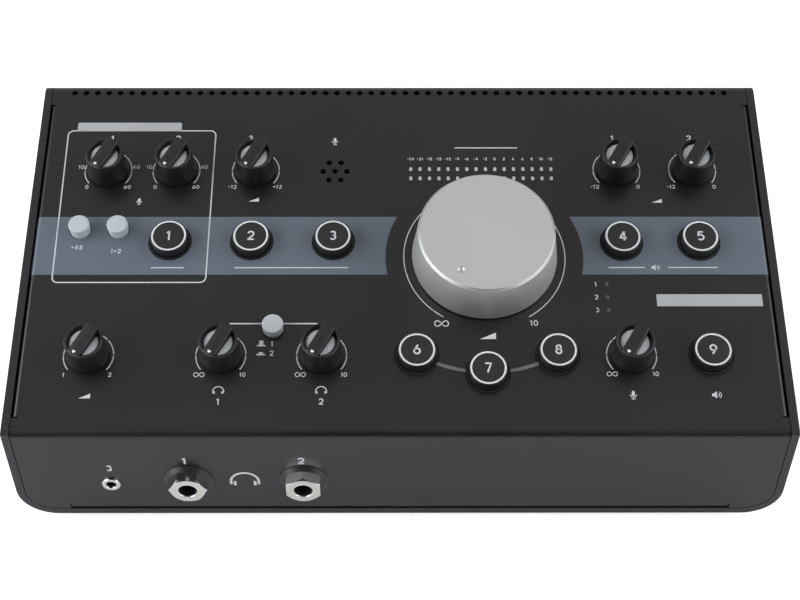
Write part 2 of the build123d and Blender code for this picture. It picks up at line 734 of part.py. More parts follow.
def make_knob(name, spot):
    """Small knob: tapered body, cup with a pale two-piece disc, and a grip bar that points."""
    axis_plane = at(panel_plane, spot)
    disc_floor = disc_top - disc_thickness
    turn_angle = radians(pointer_angle)
    tail = panel_plane.x_dir * sin(turn_angle) + panel_plane.y_dir * cos(turn_angle)
    grip_plane = Plane(origin=axis_plane.origin, x_dir=tail, z_dir=tail.cross(axis_plane.z_dir))
    edge = 0.35
    with BuildPart() as knob:
        turn(
            axis_plane,
            [
                (0, knob_gap),
                (knob_base_radius - edge, knob_gap),
                (knob_base_radius, knob_gap + edge),
                (knob_rim_radius, knob_rim_height - edge),
                (knob_rim_radius - edge, knob_rim_height),
                (cup_mouth_radius, knob_rim_height),
                (cup_floor_radius, disc_top),
                (cup_floor_radius, disc_floor),
                (0, disc_floor),
            ],
        )
        with BuildSketch(grip_plane) as grip:
            with BuildLine():
                Polyline(
                    (-grip_reach, disc_floor - 1),
                    (-grip_reach, grip_tip_height - edge),
                    (edge - grip_reach, grip_tip_height),
                    (grip_reach - edge, grip_tail_height),
                    (grip_reach, grip_tail_height - edge),
                    (grip_reach, disc_floor - 1),
                    close=True,
                )
            make_face()
        extrude(grip.sketch, amount=grip_width / 2, both=True)
        socket_radius = shaft_radius + snug
        flatted(axis_plane, socket_radius, shaft_flat + snug, knob_gap, shaft_top + 0.2, Mode.SUBTRACT)
        with BuildSketch(axis_plane.offset(disc_floor + snug)) as disc:
            Circle(cup_floor_radius - running)
            Rectangle(
                grip_width + 2 * running,
                3 * cup_floor_radius,
                rotation=-pointer_angle,
                mode=Mode.SUBTRACT,
            )
        extrude(disc.sketch, amount=disc_thickness - snug)
    save(knob, name)


for number, spot in enumerate(knob_spots, start=1):
    make_knob(f"knob_{number}", spot)
    make_shaft(f"knob_shaft_{number}", spot, shaft_top)

make_shaft("volume_shaft", volume_spot, volume_shaft_top)
volume_plane = at(panel_plane, volume_spot)
roof_under = volume_height - volume_roof
hub_foot = volume_gap + 0.6

with BuildPart() as volume_knob:
    turn(
        volume_plane,
        [
            (0, hub_foot),
            (volume_hub_radius, hub_foot),
            (volume_hub_radius, roof_under),
            (volume_side_radius - volume_skirt, roof_under),
            (volume_base_radius - volume_skirt, volume_gap),
            (volume_base_radius, volume_gap),
            (volume_side_radius, volume_height - volume_edge),
            (volume_face_radius, volume_height),
            (0, volume_height),
        ],
    )
    socket_radius = shaft_radius + snug
    socket_top = volume_shaft_top + 0.2
    flatted(volume_plane, socket_radius, shaft_flat + snug, hub_foot, socket_top, Mode.SUBTRACT)
    dimple = radians(dimple_angle)
    dimple_spot = volume_plane.from_local_coords(
        (-dimple_reach * sin(dimple), -dimple_reach * cos(dimple), volume_height + dimple_lift)
    )
    with Locations(dimple_spot):
        Sphere(dimple_ball, mode=Mode.SUBTRACT)
save(volume_knob, "volume_knob")

# ---------------------------------------------------------------- push buttons and their switches
switch_top = button_foot - button_travel - 0.1
stem_foot = main_board_top + 2.2

with BuildPart() as button_switches:
    blocks(panel_plane, button_spots, switch_width, switch_width, main_board_top, switch_top)
    posts(panel_plane, button_spots, button_radius + clear + collar_width, switch_top, 0)
    bores(panel_plane, button_spots, button_radius + clear, switch_top, 0)
    bores(panel_plane, button_spots, stem_radius + running, main_board_top + 0.4, switch_top)
save(button_switches, "button_switches")


def make_button(name, spot):
    """Round cap on a stem, with a translucent ring let into its top."""
    axis_plane = at(panel_plane, spot)
    ring_outer = button_ring_radius + button_ring_width / 2
    ring_inner = button_ring_radius - button_ring_width / 2
    ring_floor = button_height - button_ring_depth
    with BuildPart() as button:
        turn(
            axis_plane,
            [
                (0, stem_foot),
                (stem_radius, stem_foot),
                (stem_radius, button_foot),
                (button_radius, button_foot),
                (button_radius, button_height - 0.15),
                (button_radius - 0.15, button_height),
                (ring_outer, button_height),
                (ring_outer, ring_floor),
                (ring_inner, ring_floor),
                (ring_inner, button_height),
                (0, button_height),
            ],
        )
        turn(
            axis_plane,
            [
                (ring_inner + snug, ring_floor + snug),
                (ring_outer - snug, ring_floor + snug),
                (ring_outer - snug, button_height),
                (ring_inner + snug, button_height),
            ],
        )
    save(button, name)


for number, spot in enumerate(button_spots, start=1):
    make_button(f"button_{number}", spot)

# ---------------------------------------------------------------- latching buttons and their switches
latch_switch_top = latch_foot - latch_travel - 0.1
latch_stem_foot = main_board_top + latch_travel + 0.5
latch_waist_radius = latch_radius - latch_groove_depth

with BuildPart() as latch_switches:
    width = latch_switch_width
    blocks(panel_plane, latch_spots, width, width, main_board_top, latch_switch_top)
    bores(panel_plane, latch_spots, latch_stem_radius + running, main_board_top + 0.3, latch_switch_top)
save(latch_switches, "latch_switches")


def make_latch(name, spot, rest):
    """Small pale cap on a skirt, parted by a groove below its top, at its height of rest."""
    with BuildPart() as latch:
        turn(
            at(panel_plane, spot).offset(rest),
            [
                (0, latch_stem_foot),
                (latch_stem_radius, latch_stem_foot),
                (latch_stem_radius, latch_foot),
                (latch_flange_radius, latch_foot),
                (latch_flange_radius, latch_groove_foot),
                (latch_waist_radius, latch_groove_foot),
                (latch_waist_radius, latch_groove_top),
                (latch_radius, latch_groove_top),
                (latch_radius, latch_height - latch_edge),
                (latch_radius - latch_edge * 0.3, latch_height - latch_edge * 0.3),
                (latch_radius - latch_edge, latch_height),
                (0, latch_height),
            ],
        )
    save(latch, name)


for number, (spot, rest) in enumerate(zip(latch_spots, latch_rests), start=1):
    make_latch(f"latch_button_{number}", spot, rest)

# ---------------------------------------------------------------- lamps and talkback microphone
lamp_base_radius = 1.3
lamp_shoulder = main_board_top + 2.5


def make_lamps(name, spots):
    """Small lamps on the board, each with a light pipe up to the panel surface."""
    with BuildPart() as lamps:
        posts(panel_plane, spots, lamp_base_radius, main_board_top, lamp_shoulder)
        windows(panel_plane, spots, 0, lamp_shoulder, 0)
    save(lamps, name)


make_lamps("meter_lamps", meter_spots)
make_lamps("status_lamps", status_spots)

mic_plane = at(panel_plane, mic_spot)
mic_top = main_board_top + mic_height

with BuildPart() as mic_capsule:
    posts(mic_plane, [(0, 0)], mic_radius, main_board_top, mic_top)
save(mic_capsule, "mic_capsule")

with BuildPart() as mic_boot:
    boot_inner = mic_radius + running
    boot_outer = mic_hole_pitch + mic_hole_radius + 0.6
    turn(
        mic_plane,
        [
            (boot_inner, main_board_top),
            (boot_outer, main_board_top),
            (boot_outer, -sheet),
            (boot_inner + 1.0, -sheet),
            (boot_inner, mic_top),
        ],
    )
save(mic_boot, "mic_boot")

# ---------------------------------------------------------------- quarter-inch jacks, washers, nuts
front_jack_planes = [at(front_plane, spot) for spot in front_jack_spots]
rear_jack_planes = [at(socket_plane, spot) for spot in rear_jack_spots]
jack_planes = front_jack_planes + rear_jack_planes
washer_rim = 0.25
nut_face_radius = nut_flats / 2 - 0.1
nut_corner_radius = nut_flats / sqrt(3) + 0.2
nut_chamfer = (nut_corner_radius - nut_face_radius) * tan(radians(30))

with BuildPart() as phone_jacks:
    for jack_plane in jack_planes:
        blocks(jack_plane, [(0, 0)], jack_width, jack_height, -sheet - jack_depth, -sheet)
        posts(jack_plane, [(0, 0)], jack_thread_radius, -sheet, jack_stack)
        bores(jack_plane, [(0, 0)], jack_bore_radius, jack_stack - jack_bore_depth, jack_stack)
        mouth = [
            (0, jack_stack - jack_mouth),
            (jack_bore_radius, jack_stack - jack_mouth),
            (jack_bore_radius + jack_mouth, jack_stack),
            (0, jack_stack),
        ]
        turn(jack_plane, mouth, Mode.SUBTRACT)
save(phone_jacks, "phone_jacks")

with BuildPart() as jack_washers:
    for jack_plane in jack_planes:
        turn(
            jack_plane,
            [
                (jack_thread_radius + clear, 0),
                (washer_radius, 0),
                (washer_radius, washer_rim),
                (washer_top_radius, washer_thickness),
                (jack_thread_radius + clear, washer_thickness),
            ],
        )
save(jack_washers, "jack_washers")

with BuildPart() as jack_nuts:
    for jack_plane, nut_turn in zip(jack_planes, nut_turns):
        hexes(jack_plane, [(0, 0)], nut_flats, washer_thickness, jack_stack, [nut_turn])
        bores(jack_plane, [(0, 0)], jack_thread_radius + thread_gap, washer_thickness, jack_stack)
        crown = [
            (nut_face_radius, jack_stack),
            (nut_corner_radius, jack_stack - nut_chamfer),
            (nut_corner_radius, jack_stack + 0.5),
            (nut_face_radius, jack_stack + 0.5),
        ]
        turn(jack_plane, crown, Mode.SUBTRACT)
save(jack_nuts, "jack_nuts")

# ---------------------------------------------------------------- small headphone jack
mini_plane = at(front_plane, mini_spot)
mini_thread_top = mini_ring_height - mini_ring_lip - snug

with BuildPart() as mini_jack:
    mini_foot = mini_spot[1] + jack_drop + jack_height / 2  # from its axis down to the jack board
    lift = (mini_body / 2 - mini_foot) / 2
    blocks(mini_plane, [(0, lift)], mini_body, mini_body / 2 + mini_foot, -sheet - mini_depth, -sheet)
    posts(mini_plane, [(0, 0)], mini_thread_radius, -sheet, mini_thread_top)
    bores(mini_plane, [(0, 0)], mini_bore_radius, mini_thread_top - mini_bore_depth, mini_thread_top)
save(mini_jack, "mini_jack")

with BuildPart() as mini_jack_ring:
    ring_bore = mini_thread_radius + thread_gap
    lip_bore = mini_bore_radius + thread_gap
    lip_under = mini_ring_height - mini_ring_lip
    turn(
        mini_plane,
        [
            (ring_bore, 0),
            (mini_ring_radius, 0),
            (mini_ring_radius, mini_ring_height - 0.25),
            (mini_ring_radius - 0.25, mini_ring_height),
            (lip_bore + 0.2, mini_ring_height),
            (lip_bore, mini_ring_height - 0.2),
            (lip_bore, lip_under),
            (ring_bore, lip_under),
        ],
    )
save(mini_jack_ring, "mini_jack_ring")

# ---------------------------------------------------------------- rear sockets
with BuildPart() as combo_sockets:
    blocks(socket_plane, combo_spots, combo_width, combo_height, -sheet - combo_depth, -sheet)
    posts(socket_plane, combo_spots, combo_nose_radius, -sheet, combo_nose)
    bores(socket_plane, combo_spots, combo_bore_radius, combo_nose - combo_bore_depth, combo_nose)
    bores(socket_plane, combo_screw_spots, screw_radius + thread_gap, -screw_length - sheet, -sheet)
    for spot in combo_spots:
        with BuildSketch(socket_plane.offset(combo_nose)) as pin_holes:
            with Locations(spot):
                with PolarLocations(pin_hole_reach, 3, start_angle=-90):
                    Circle(pin_hole_radius)
        extrude(pin_holes.sketch, amount=-pin_hole_depth, mode=Mode.SUBTRACT)
        tab = [(spot[0], spot[1] + latch_tab_reach)]
        tab_top = combo_nose + latch_tab_thickness
        blocks(socket_plane, tab, latch_tab_width, latch_tab_height, combo_nose, tab_top)
save(combo_sockets, "combo_sockets")

with BuildPart() as data_port:
    with BuildSketch(socket_plane.offset(-port_depth)) as port_outer:
        with Locations(port_spot):
            SlotOverall(port_width, port_height)
    extrude(port_outer.sketch, amount=port_depth)
    with BuildSketch(socket_plane.offset(1.0 - port_depth)) as port_inner:
        with Locations(port_spot):
            SlotOverall(port_width - 2 * port_shell, port_height - 2 * port_shell)
    extrude(port_inner.sketch, amount=port_depth, mode=Mode.SUBTRACT)
    tongue_front = -port_tongue_setback
    blocks(socket_plane, [port_spot], port_tongue_width, port_tongue_height, -port_depth, tongue_front)
save(data_port, "data_port")

with BuildPart() as dc_inlet:
    blocks(socket_plane, [inlet_spot], inlet_width, inlet_height, -sheet - inlet_depth, -sheet)
    posts(socket_plane, [inlet_spot], inlet_bore_radius + inlet_wall, -sheet, 0)
    bores(socket_plane, [inlet_spot], inlet_bore_radius, -inlet_bore_depth, 0)
    posts(socket_plane, [inlet_spot], inlet_pin_radius, -inlet_bore_depth - 1, -inlet_pin_setback)
save(dc_inlet, "dc_inlet")
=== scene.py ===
import json

import bmesh
import bpy
import numpy as np
from mathutils import Matrix


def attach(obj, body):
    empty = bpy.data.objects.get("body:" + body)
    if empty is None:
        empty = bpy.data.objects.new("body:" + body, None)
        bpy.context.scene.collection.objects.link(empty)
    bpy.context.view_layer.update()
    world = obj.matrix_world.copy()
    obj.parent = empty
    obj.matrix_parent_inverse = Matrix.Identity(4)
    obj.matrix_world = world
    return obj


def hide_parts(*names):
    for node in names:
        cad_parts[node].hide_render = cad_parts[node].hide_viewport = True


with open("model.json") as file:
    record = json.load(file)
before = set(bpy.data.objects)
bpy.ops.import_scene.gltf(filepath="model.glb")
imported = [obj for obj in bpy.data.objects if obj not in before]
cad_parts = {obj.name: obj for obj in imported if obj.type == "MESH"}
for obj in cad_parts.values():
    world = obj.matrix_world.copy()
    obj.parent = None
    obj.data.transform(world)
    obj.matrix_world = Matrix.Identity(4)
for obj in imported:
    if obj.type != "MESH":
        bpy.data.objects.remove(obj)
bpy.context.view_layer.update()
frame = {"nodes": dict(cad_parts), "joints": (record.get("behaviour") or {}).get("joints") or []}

# ---------------------------------------------------------------- panel axes and camera
# The control panel is the face that everything is set out on. Its axes run across, back up the
# slope and straight out, from the middle of its front edge, which is found from the dial's axis.
# Places on it are (across, back) in millimetres. The camera looks down on it from in front.
mm = 0.001
joints = {joint["name"]: joint for joint in frame["joints"]}
volume_spot = (32.4945, 74.9991)

out = np.array(joints["volume_turn"]["axis"])
across = np.array((1.0, 0.0, 0.0))
back = np.cross(out, across)
crest = np.array(joints["volume_turn"]["pos_m"]) - mm * (volume_spot[0] * across + volume_spot[1] * back)
panel = np.array((crest, across, back, out))


def placed(place, points):
    """Millimetre points to metres: the place's origin plus x, y and z along the place's three axes."""
    return place[0] + mm * np.asarray(points, float) @ place[1:]


camera_spot = (-1.585, -236.80, 523.52)
pitch, yaw, roll = np.radians((60.801, 0.305, 0.237))
focal_length, sensor_width, farthest_view = 71.155, 36.0, 30.0

ahead = np.array((np.sin(yaw) * np.cos(pitch), np.cos(yaw) * np.cos(pitch), -np.sin(pitch)))
level = np.array((np.cos(yaw), -np.sin(yaw), 0.0))
upright = np.cross(level, ahead)
right = np.cos(roll) * level + np.sin(roll) * upright
top = np.cos(roll) * upright - np.sin(roll) * level
aim = np.eye(4)
aim[:3, :3] = (np.array((right, top, -ahead)) @ panel[1:]).T
aim[:3, 3] = placed(panel, camera_spot)
lens = bpy.data.cameras.new("camera")
lens.sensor_width = sensor_width
lens.lens = focal_length
lens.clip_end = farthest_view
camera = bpy.data.objects.new("camera", lens)
camera.matrix_world = Matrix(aim.tolist())
bpy.context.scene.collection.objects.link(camera)
bpy.context.scene.camera = camera
bpy.context.scene.view_settings.view_transform = "Standard"


# ---------------------------------------------------------------- outer wrap
# Left side, base and right side in one 3 mm aluminium plate, bent at the lower corners
# and coated with a fine satin powder paint. It is screwed to the inner sheet from below.
def feed(tree, made, inputs):
    """Links each of a shader node's inputs to a socket, or gives it a plain value."""
    for name, value in inputs.items():
        if isinstance(value, bpy.types.NodeSocket):
            tree.links.new(value, made.inputs[name])
        else:
            made.inputs[name].default_value = value


def node(tree, kind, inputs=None, **settings):
    """One shader node with its settings and inputs."""
    made = tree.nodes.new("ShaderNode" + kind)
    for name, value in settings.items():
        setattr(made, name, value)
    feed(tree, made, inputs or {})
    return made


def maths(tree, operation, first, second=0.0):
    """One sum, product or test of two values, by the name of the operation."""
    return node(tree, "Math", {0: first, 1: second}, operation=operation).outputs[0]


def ranged(tree, value, low, high, first=0.0, last=1.0, **settings):
    """Value carried evenly from the range low to high into first to last, and held at both ends."""
    limits = {"Value": value, "From Min": low, "From Max": high, "To Min": first, "To Max": last}
    return node(tree, "MapRange", limits, **settings).outputs[0]


def between(tree, share, first, second):
    """Colour mix: the first plus the share times the second less the first. A Mix node holds its
    two colours in sockets 6 and 7 and puts the mixed one out of socket 2."""
    inputs = {0: share}
    for socket, colour in ((6, first), (7, second)):
        inputs[socket] = colour if isinstance(colour, bpy.types.NodeSocket) else (*colour, 1.0)
    return node(tree, "Mix", inputs, data_type="RGBA").outputs[2]


def effect(name, takes, gives):
    """Empty shader node group with named inputs, (kind, value) each, and named outputs."""
    tree = bpy.data.node_groups.new(name, "ShaderNodeTree")
    for label, (kind, value) in takes.items():
        socket = tree.interface.new_socket(label, in_out="INPUT", socket_type="NodeSocket" + kind)
        if value is not None:
            socket.default_value = value
    for label, kind in gives.items():
        tree.interface.new_socket(label, in_out="OUTPUT", socket_type="NodeSocket" + kind)
    return tree, tree.nodes.new("NodeGroupInput").outputs, tree.nodes.new("NodeGroupOutput").inputs


def use(tree, group, **inputs):
    """A material's own copy of an effect, with its values."""
    made = tree.nodes.new("ShaderNodeGroup")
    made.node_tree = group
    feed(tree, made, inputs)
    return made.outputs


# Grain: the height is a noise one grain size across, and the tone a noise of slow clouds.
grain, given, sent = effect(
    "surface_grain",
    {"Place": ("Vector", None), "Size": ("Float", 0.3)},
    {"Height": "Float", "Tone": "Float"},
)
finer = maths(grain, "DIVIDE", 1 / mm, given["Size"])
close_up = node(grain, "VectorMath", {0: given["Place"], "Scale": finer}, operation="SCALE").outputs[0]
bumps = node(grain, "TexNoise", {"Vector": close_up, "Scale": 1.0, "Detail": 2.0, "Roughness": 0.6})
clouds = node(grain, "TexNoise", {"Vector": given["Place"], "Scale": 22.0, "Detail": 3.0, "Roughness": 0.5})
grain.links.new(bumps.outputs["Fac"], sent["Height"])
grain.links.new(clouds.outputs["Fac"], sent["Tone"])

# Dust: the mask is one close to the points of a fine scatter, times a noise that leaves it in
# patches, times the amount. The smudges are a slow noise of their own.
dust, given, sent = effect(
    "settled_dust",
    {"Place": ("Vector", None), "Amount": ("Float", 0.3)},
    {"Mask": "Float", "Smudge": "Float"},
)
flecks = node(dust, "TexVoronoi", {"Vector": given["Place"], "Scale": 420.0, "Randomness": 1.0})
speck = ranged(dust, flecks.outputs["Distance"], 0.16, 0.06)
patches = node(dust, "TexNoise", {"Vector": given["Place"], "Scale": 45.0, "Detail": 4.0})
patch = ranged(dust, patches.outputs["Fac"], 0.5, 0.75)
rubbed = node(dust, "TexNoise", {"Vector": given["Place"], "Scale": 14.0, "Detail": 5.0, "Roughness": 0.62})
settled = maths(dust, "MULTIPLY", maths(dust, "MULTIPLY", speck, patch), given["Amount"])
dust.links.new(settled, sent["Mask"])
dust.links.new(rubbed.outputs["Fac"], sent["Smudge"])

dust_grey = (0.22, 0.21, 0.20)
smudge_low, smudge_high = 0.3, 0.7
paint_relief = 0.05


def blank(name, plain):
    """New material, its node tree and its shader, with plain values on the shader's own sockets."""
    made = bpy.data.materials.new(name)
    made.use_nodes = True
    shader = made.node_tree.nodes["Principled BSDF"]
    for label, value in plain.items():
        shader.inputs[label.replace("_", " ")].default_value = value
    return made, made.node_tree, shader


def coated(name, dark, light, rough, grain_size, grain_depth, dust_amount=0.25, spread=0.05, **plain):
    """Paint, rubber or plastic: the tone drifts between two colours, dust settles on it, and the
    grain gives a fine bump. Roughness is a middle value plus or minus a share of the smudges."""
    made, tree, shader = blank(name, plain)
    place = node(tree, "TexCoord").outputs["Object"]
    surface = use(tree, grain, Place=place, Size=grain_size)
    settled = use(tree, dust, Place=place, Amount=dust_amount)
    tone = between(tree, surface["Tone"], dark, light)
    dusted = between(tree, settled["Mask"], tone, dust_grey)
    gloss = ranged(tree, settled["Smudge"], smudge_low, smudge_high, rough - spread, rough + spread)
    grained = {"Height": surface["Height"], "Strength": grain_depth, "Distance": paint_relief * mm}
    tree.links.new(dusted, shader.inputs["Base Color"])
    tree.links.new(gloss, shader.inputs["Roughness"])
    tree.links.new(node(tree, "Bump", grained).outputs[0], shader.inputs["Normal"])
    return made


def clad(material, *names):
    """Puts a material on CAD nodes' own slots."""
    for name in names:
        mesh = frame["nodes"][name].data
        if not mesh.materials:
            mesh.materials.append(None)
        for slot in range(len(mesh.materials)):
            mesh.materials[slot] = material


wrap_paint = coated(
    "wrap_paint", (0.0095, 0.0095, 0.0105), (0.0125, 0.0125, 0.014),
    rough=0.4, grain_size=0.35, grain_depth=0.25, dust_amount=0.1,
)
clad(wrap_paint, "outer_shell")

# ---------------------------------------------------------------- inner sheet
# Front face, control panel and rear lip folded from one 1.5 mm steel sheet in matt powder
# paint. Two blue-grey bands are printed on it; they stop short of the dial in an arc.
band_front, band_rear, band_radius = 66.9, 93.0, 38.1
band_depth, band_blur = 1.2, 0.04
band_dark, band_light = (0.101, 0.123, 0.155), (0.117, 0.140, 0.173)
panel_turn = (np.arctan2(back[2], back[1]), 0.0, 0.0)

# Seat axes: the place is taken from the origin and turned back, which gives its ways along and
# out. The reach is its distance from the axis out, or from the nearer of two axes that lie
# apart on both sides of the origin: the root of (|across| - apart / 2) squared plus along squared.
seat_axes, given, sent = effect(
    "seat_axes",
    {
        "Place": ("Vector", None),
        "Origin": ("Vector", None),
        "Turn": ("Vector", None),
        "Apart": ("Float", 0.0),
    },
    {"Along": "Float", "Out": "Float", "Reach": "Float"},
)
own_place = node(
    seat_axes,
    "Mapping",
    {"Vector": given["Place"], "Location": given["Origin"], "Rotation": given["Turn"]},
    vector_type="TEXTURE",
).outputs[0]
own_across, own_along, own_out = node(seat_axes, "SeparateXYZ", {0: own_place}).outputs
half_apart = maths(seat_axes, "MULTIPLY", given["Apart"], 0.5)
beside = maths(seat_axes, "SUBTRACT", maths(seat_axes, "ABSOLUTE", own_across), half_apart)
radial = node(seat_axes, "CombineXYZ", {0: beside, 1: own_along}).outputs[0]
reach = node(seat_axes, "VectorMath", {0: radial}, operation="LENGTH").outputs["Value"]
seat_axes.links.new(own_along, sent["Along"])
seat_axes.links.new(own_out, sent["Out"])
seat_axes.links.new(reach, sent["Reach"])


def seated(tree, origin, turn, apart=0.0):
    """Seat axes in a material, from an origin in metres, a turn and a distance in millimetres."""
    place = node(tree, "TexCoord").outputs["Object"]
    return use(tree, seat_axes, Place=place, Origin=origin.tolist(), Turn=turn, Apart=apart * mm)


def overlaid(tree, mask, colour):
    """Lays a colour over the material's own base colour, by a mask."""
    base = tree.nodes["Principled BSDF"].inputs["Base Color"]
    tree.links.new(between(tree, mask, base.links[0].from_socket, colour), base)


panel_paint = coated(
    "panel_paint", (0.0074, 0.0074, 0.0079), (0.0095, 0.0095, 0.0102),
    rough=0.32, grain_size=0.3, grain_depth=0.3, dust_amount=0.1,
)
tree = panel_paint.node_tree
spot = seated(tree, placed(panel, (*volume_spot, 0.0)), panel_turn)
# The bands' mask is a product of soft steps, one past each edge that bounds them. A side of -1
# turns a step round.
edges = (
    (spot["Along"], band_front - volume_spot[1], 1),
    (spot["Along"], band_rear - volume_spot[1], -1),
    (spot["Reach"], band_radius, 1),
    (spot["Out"], -band_depth, 1),
)
inside = 1.0
for value, limit, side in edges:
    soft = band_blur * side
    past_edge = ranged(tree, value, (limit - soft) * mm, (limit + soft) * mm)
    inside = maths(tree, "MULTIPLY", inside, past_edge)
shade = use(tree, grain, Place=node(tree, "TexCoord").outputs["Object"], Size=0.2)
overlaid(tree, inside, between(tree, shade["Tone"], band_dark, band_light))
clad(panel_paint, "top_panel")

# ---------------------------------------------------------------- small parts of the case
# Rear plate in the wrap's paint, four moulded rubber feet, and blackened pan-head screws
# that hold the wrap, the rear lip and the combined sockets.
rear_paint = coated(
    "rear_paint", (0.0105, 0.0105, 0.011), (0.0135, 0.0135, 0.014),
    rough=0.45, grain_size=0.3, grain_depth=0.3, dust_amount=0.1,
)
clad(rear_paint, "rear_panel")
rubber = coated(
    "rubber", (0.012, 0.012, 0.012), (0.02, 0.02, 0.019),
    rough=0.78, grain_size=0.5, grain_depth=0.5, dust_amount=0.6,
)
clad(rubber, "rubber_feet", "mic_boot")

metal_relief = 0.04


def metal(name, dark, light, rough, mark_size, mark_depth, stretch=(1.0, 1.0, 1.0), spread=0.06, **plain):
    """Bare or plated metal: the tone drifts between two colours, and the grain, stretched along
    the way the part was worked, gives fine marks. Roughness follows the smudges."""
    made, tree, shader = blank(name, {"Metallic": 1.0, **plain})
    place = node(tree, "TexCoord").outputs["Object"]
    drawn = node(tree, "Mapping", {"Vector": place, "Scale": stretch}).outputs[0]
    surface = use(tree, grain, Place=drawn, Size=mark_size)
    smudge = use(tree, dust, Place=place)["Smudge"]
    gloss = ranged(tree, smudge, smudge_low, smudge_high, rough - spread, rough + spread)
    marked = {"Height": surface["Height"], "Strength": mark_depth, "Distance": metal_relief * mm}
    tree.links.new(between(tree, surface["Tone"], dark, light), shader.inputs["Base Color"])
    tree.links.new(gloss, shader.inputs["Roughness"])
    tree.links.new(node(tree, "Bump", marked).outputs[0], shader.inputs["Normal"])
    return made


blackened = metal(
    "blackened_steel", (0.03, 0.03, 0.032), (0.05, 0.05, 0.052),
    rough=0.42, mark_size=0.3, mark_depth=0.2,
)
clad(blackened, "case_screws")

# ---------------------------------------------------------------- boards and what they carry
# Green glass-fibre boards on brass pillars with zinc-plated screws, grey ribbon cables, steel
# pot cans and shafts, black switch mouldings. All of it is out of sight behind the panel.
mask_green = coated(
    "solder_mask", (0.010, 0.060, 0.026), (0.018, 0.095, 0.040),
    rough=0.34, grain_size=1.2, grain_depth=0.4, dust_amount=0.2,
)
clad(mask_green, "main_board", "rear_board", "jack_board")
brass = metal(
    "turned_brass", (0.62, 0.44, 0.18), (0.74, 0.56, 0.26),
    rough=0.28, mark_size=0.25, mark_depth=0.2,
)
clad(brass, "standoffs")
zinc = metal(
    "zinc_plate", (0.50, 0.50, 0.52), (0.62, 0.62, 0.63),
    rough=0.3, mark_size=0.3, mark_depth=0.2,
)
clad(zinc, "board_screws", "data_port")
ribbon_grey = coated(
    "ribbon_grey", (0.26, 0.26, 0.27), (0.36, 0.36, 0.37),
    rough=0.5, grain_size=1.27, grain_depth=0.9, dust_amount=0.2,
)
clad(ribbon_grey, "ribbon_cables")
drawn_out = (1.0, 0.12, 1.0)
pressed_steel = metal(
    "pressed_steel", (0.40, 0.40, 0.41), (0.52, 0.52, 0.53),
    rough=0.36, mark_size=0.3, mark_depth=0.2, stretch=drawn_out,
)
clad(pressed_steel, "small_pots", "volume_pot", "mic_capsule")
shaft_steel = metal(
    "shaft_steel", (0.46, 0.46, 0.47), (0.58, 0.58, 0.59),
    rough=0.3, mark_size=0.2, mark_depth=0.2,
)
clad(shaft_steel, "volume_shaft", *(name for name in frame["nodes"] if name.startswith("knob_shaft_")))
switch_black = coated(
    "switch_black", (0.005, 0.005, 0.0055), (0.008, 0.008, 0.0085),
    rough=0.6, grain_size=0.3, grain_depth=0.2, dust_amount=0.05,
)
clad(switch_black, "button_switches", "latch_switches")

# ---------------------------------------------------------------- jacks and sockets
# Black moulded jack bodies; the front ones are held by a black cone washer and a nickel-plated
# hexagon nut, and their noses are plated. The small jack has a plated ring. The rear sockets
# are black mouldings too.
socket_black = coated(
    "socket_black", (0.011, 0.011, 0.012), (0.017, 0.017, 0.018),
    rough=0.36, grain_size=0.4, grain_depth=0.25, dust_amount=0.2,
)
clad(socket_black, "mini_jack", "combo_sockets", "dc_inlet")
washer_black = coated(
    "washer_black", (0.012, 0.012, 0.013), (0.018, 0.018, 0.019),
    rough=0.33, grain_size=0.5, grain_depth=0.12, dust_amount=0.1,
)
clad(washer_black, "jack_washers")
nickel = metal(
    "nickel_plate", (0.62, 0.60, 0.56), (0.76, 0.74, 0.70),
    rough=0.2, mark_size=0.6, mark_depth=0.12, spread=0.05,
)
clad(nickel, "jack_nuts", "mini_jack_ring")

front_lean = np.radians(4.6)
front_out = np.array((0.0, -np.cos(front_lean), np.sin(front_lean)))
front = np.array((crest, across, np.cross(front_out, across), front_out))
front_turn = (np.pi / 2 - front_lean, 0.0, 0.0)
jack_middle, jack_apart, jack_drop = -57.75, 43.1, 28.1
nose_inner, nose_outer, nose_blur = 3.5, 4.9, 0.05
nose_plate, nose_rough = (0.70, 0.68, 0.64), 0.25

# The noses are plated onto the same moulding.
jack_mould = socket_black.copy()
jack_mould.name = "jack_mould"
tree = jack_mould.node_tree
shader = tree.nodes["Principled BSDF"]
spot = seated(tree, placed(front, (jack_middle, -jack_drop, 0.0)), front_turn, jack_apart)
past_bore = ranged(tree, spot["Reach"], (nose_inner - nose_blur) * mm, nose_inner * mm)
within_nose = ranged(tree, spot["Reach"], nose_outer * mm, (nose_outer + nose_blur) * mm, 1.0, 0.0)
proud = maths(tree, "GREATER_THAN", spot["Out"], 0.0)
plated = maths(tree, "MULTIPLY", maths(tree, "MULTIPLY", past_bore, within_nose), proud)
moulded_gloss = shader.inputs["Roughness"].links[0].from_socket
nose_gloss = node(tree, "Mix", {0: plated, 2: moulded_gloss, 3: nose_rough}).outputs[0]
overlaid(tree, plated, nose_plate)
tree.links.new(nose_gloss, shader.inputs["Roughness"])
tree.links.new(plated, shader.inputs["Metallic"])
clad(jack_mould, "phone_jacks")

# ---------------------------------------------------------------- lamps
# Light pipes of acrylic, pressed into the panel from behind and flush with it: milky white ones
# in the two rows of the meter, and three darker clear ones for the status. They are unlit.
lamp_white = coated(
    "lamp_white", (0.36, 0.37, 0.375), (0.48, 0.49, 0.495),
    rough=0.3, grain_size=0.25, grain_depth=0.15, dust_amount=0.05,
)
clad(lamp_white, "meter_lamps")
lamp_clear = coated(
    "lamp_clear", (0.040, 0.060, 0.048), (0.070, 0.095, 0.080),
    rough=0.25, grain_size=0.25, grain_depth=0.15, dust_amount=0.05, Coat_Weight=0.3,
)
clad(lamp_clear, "status_lamps")


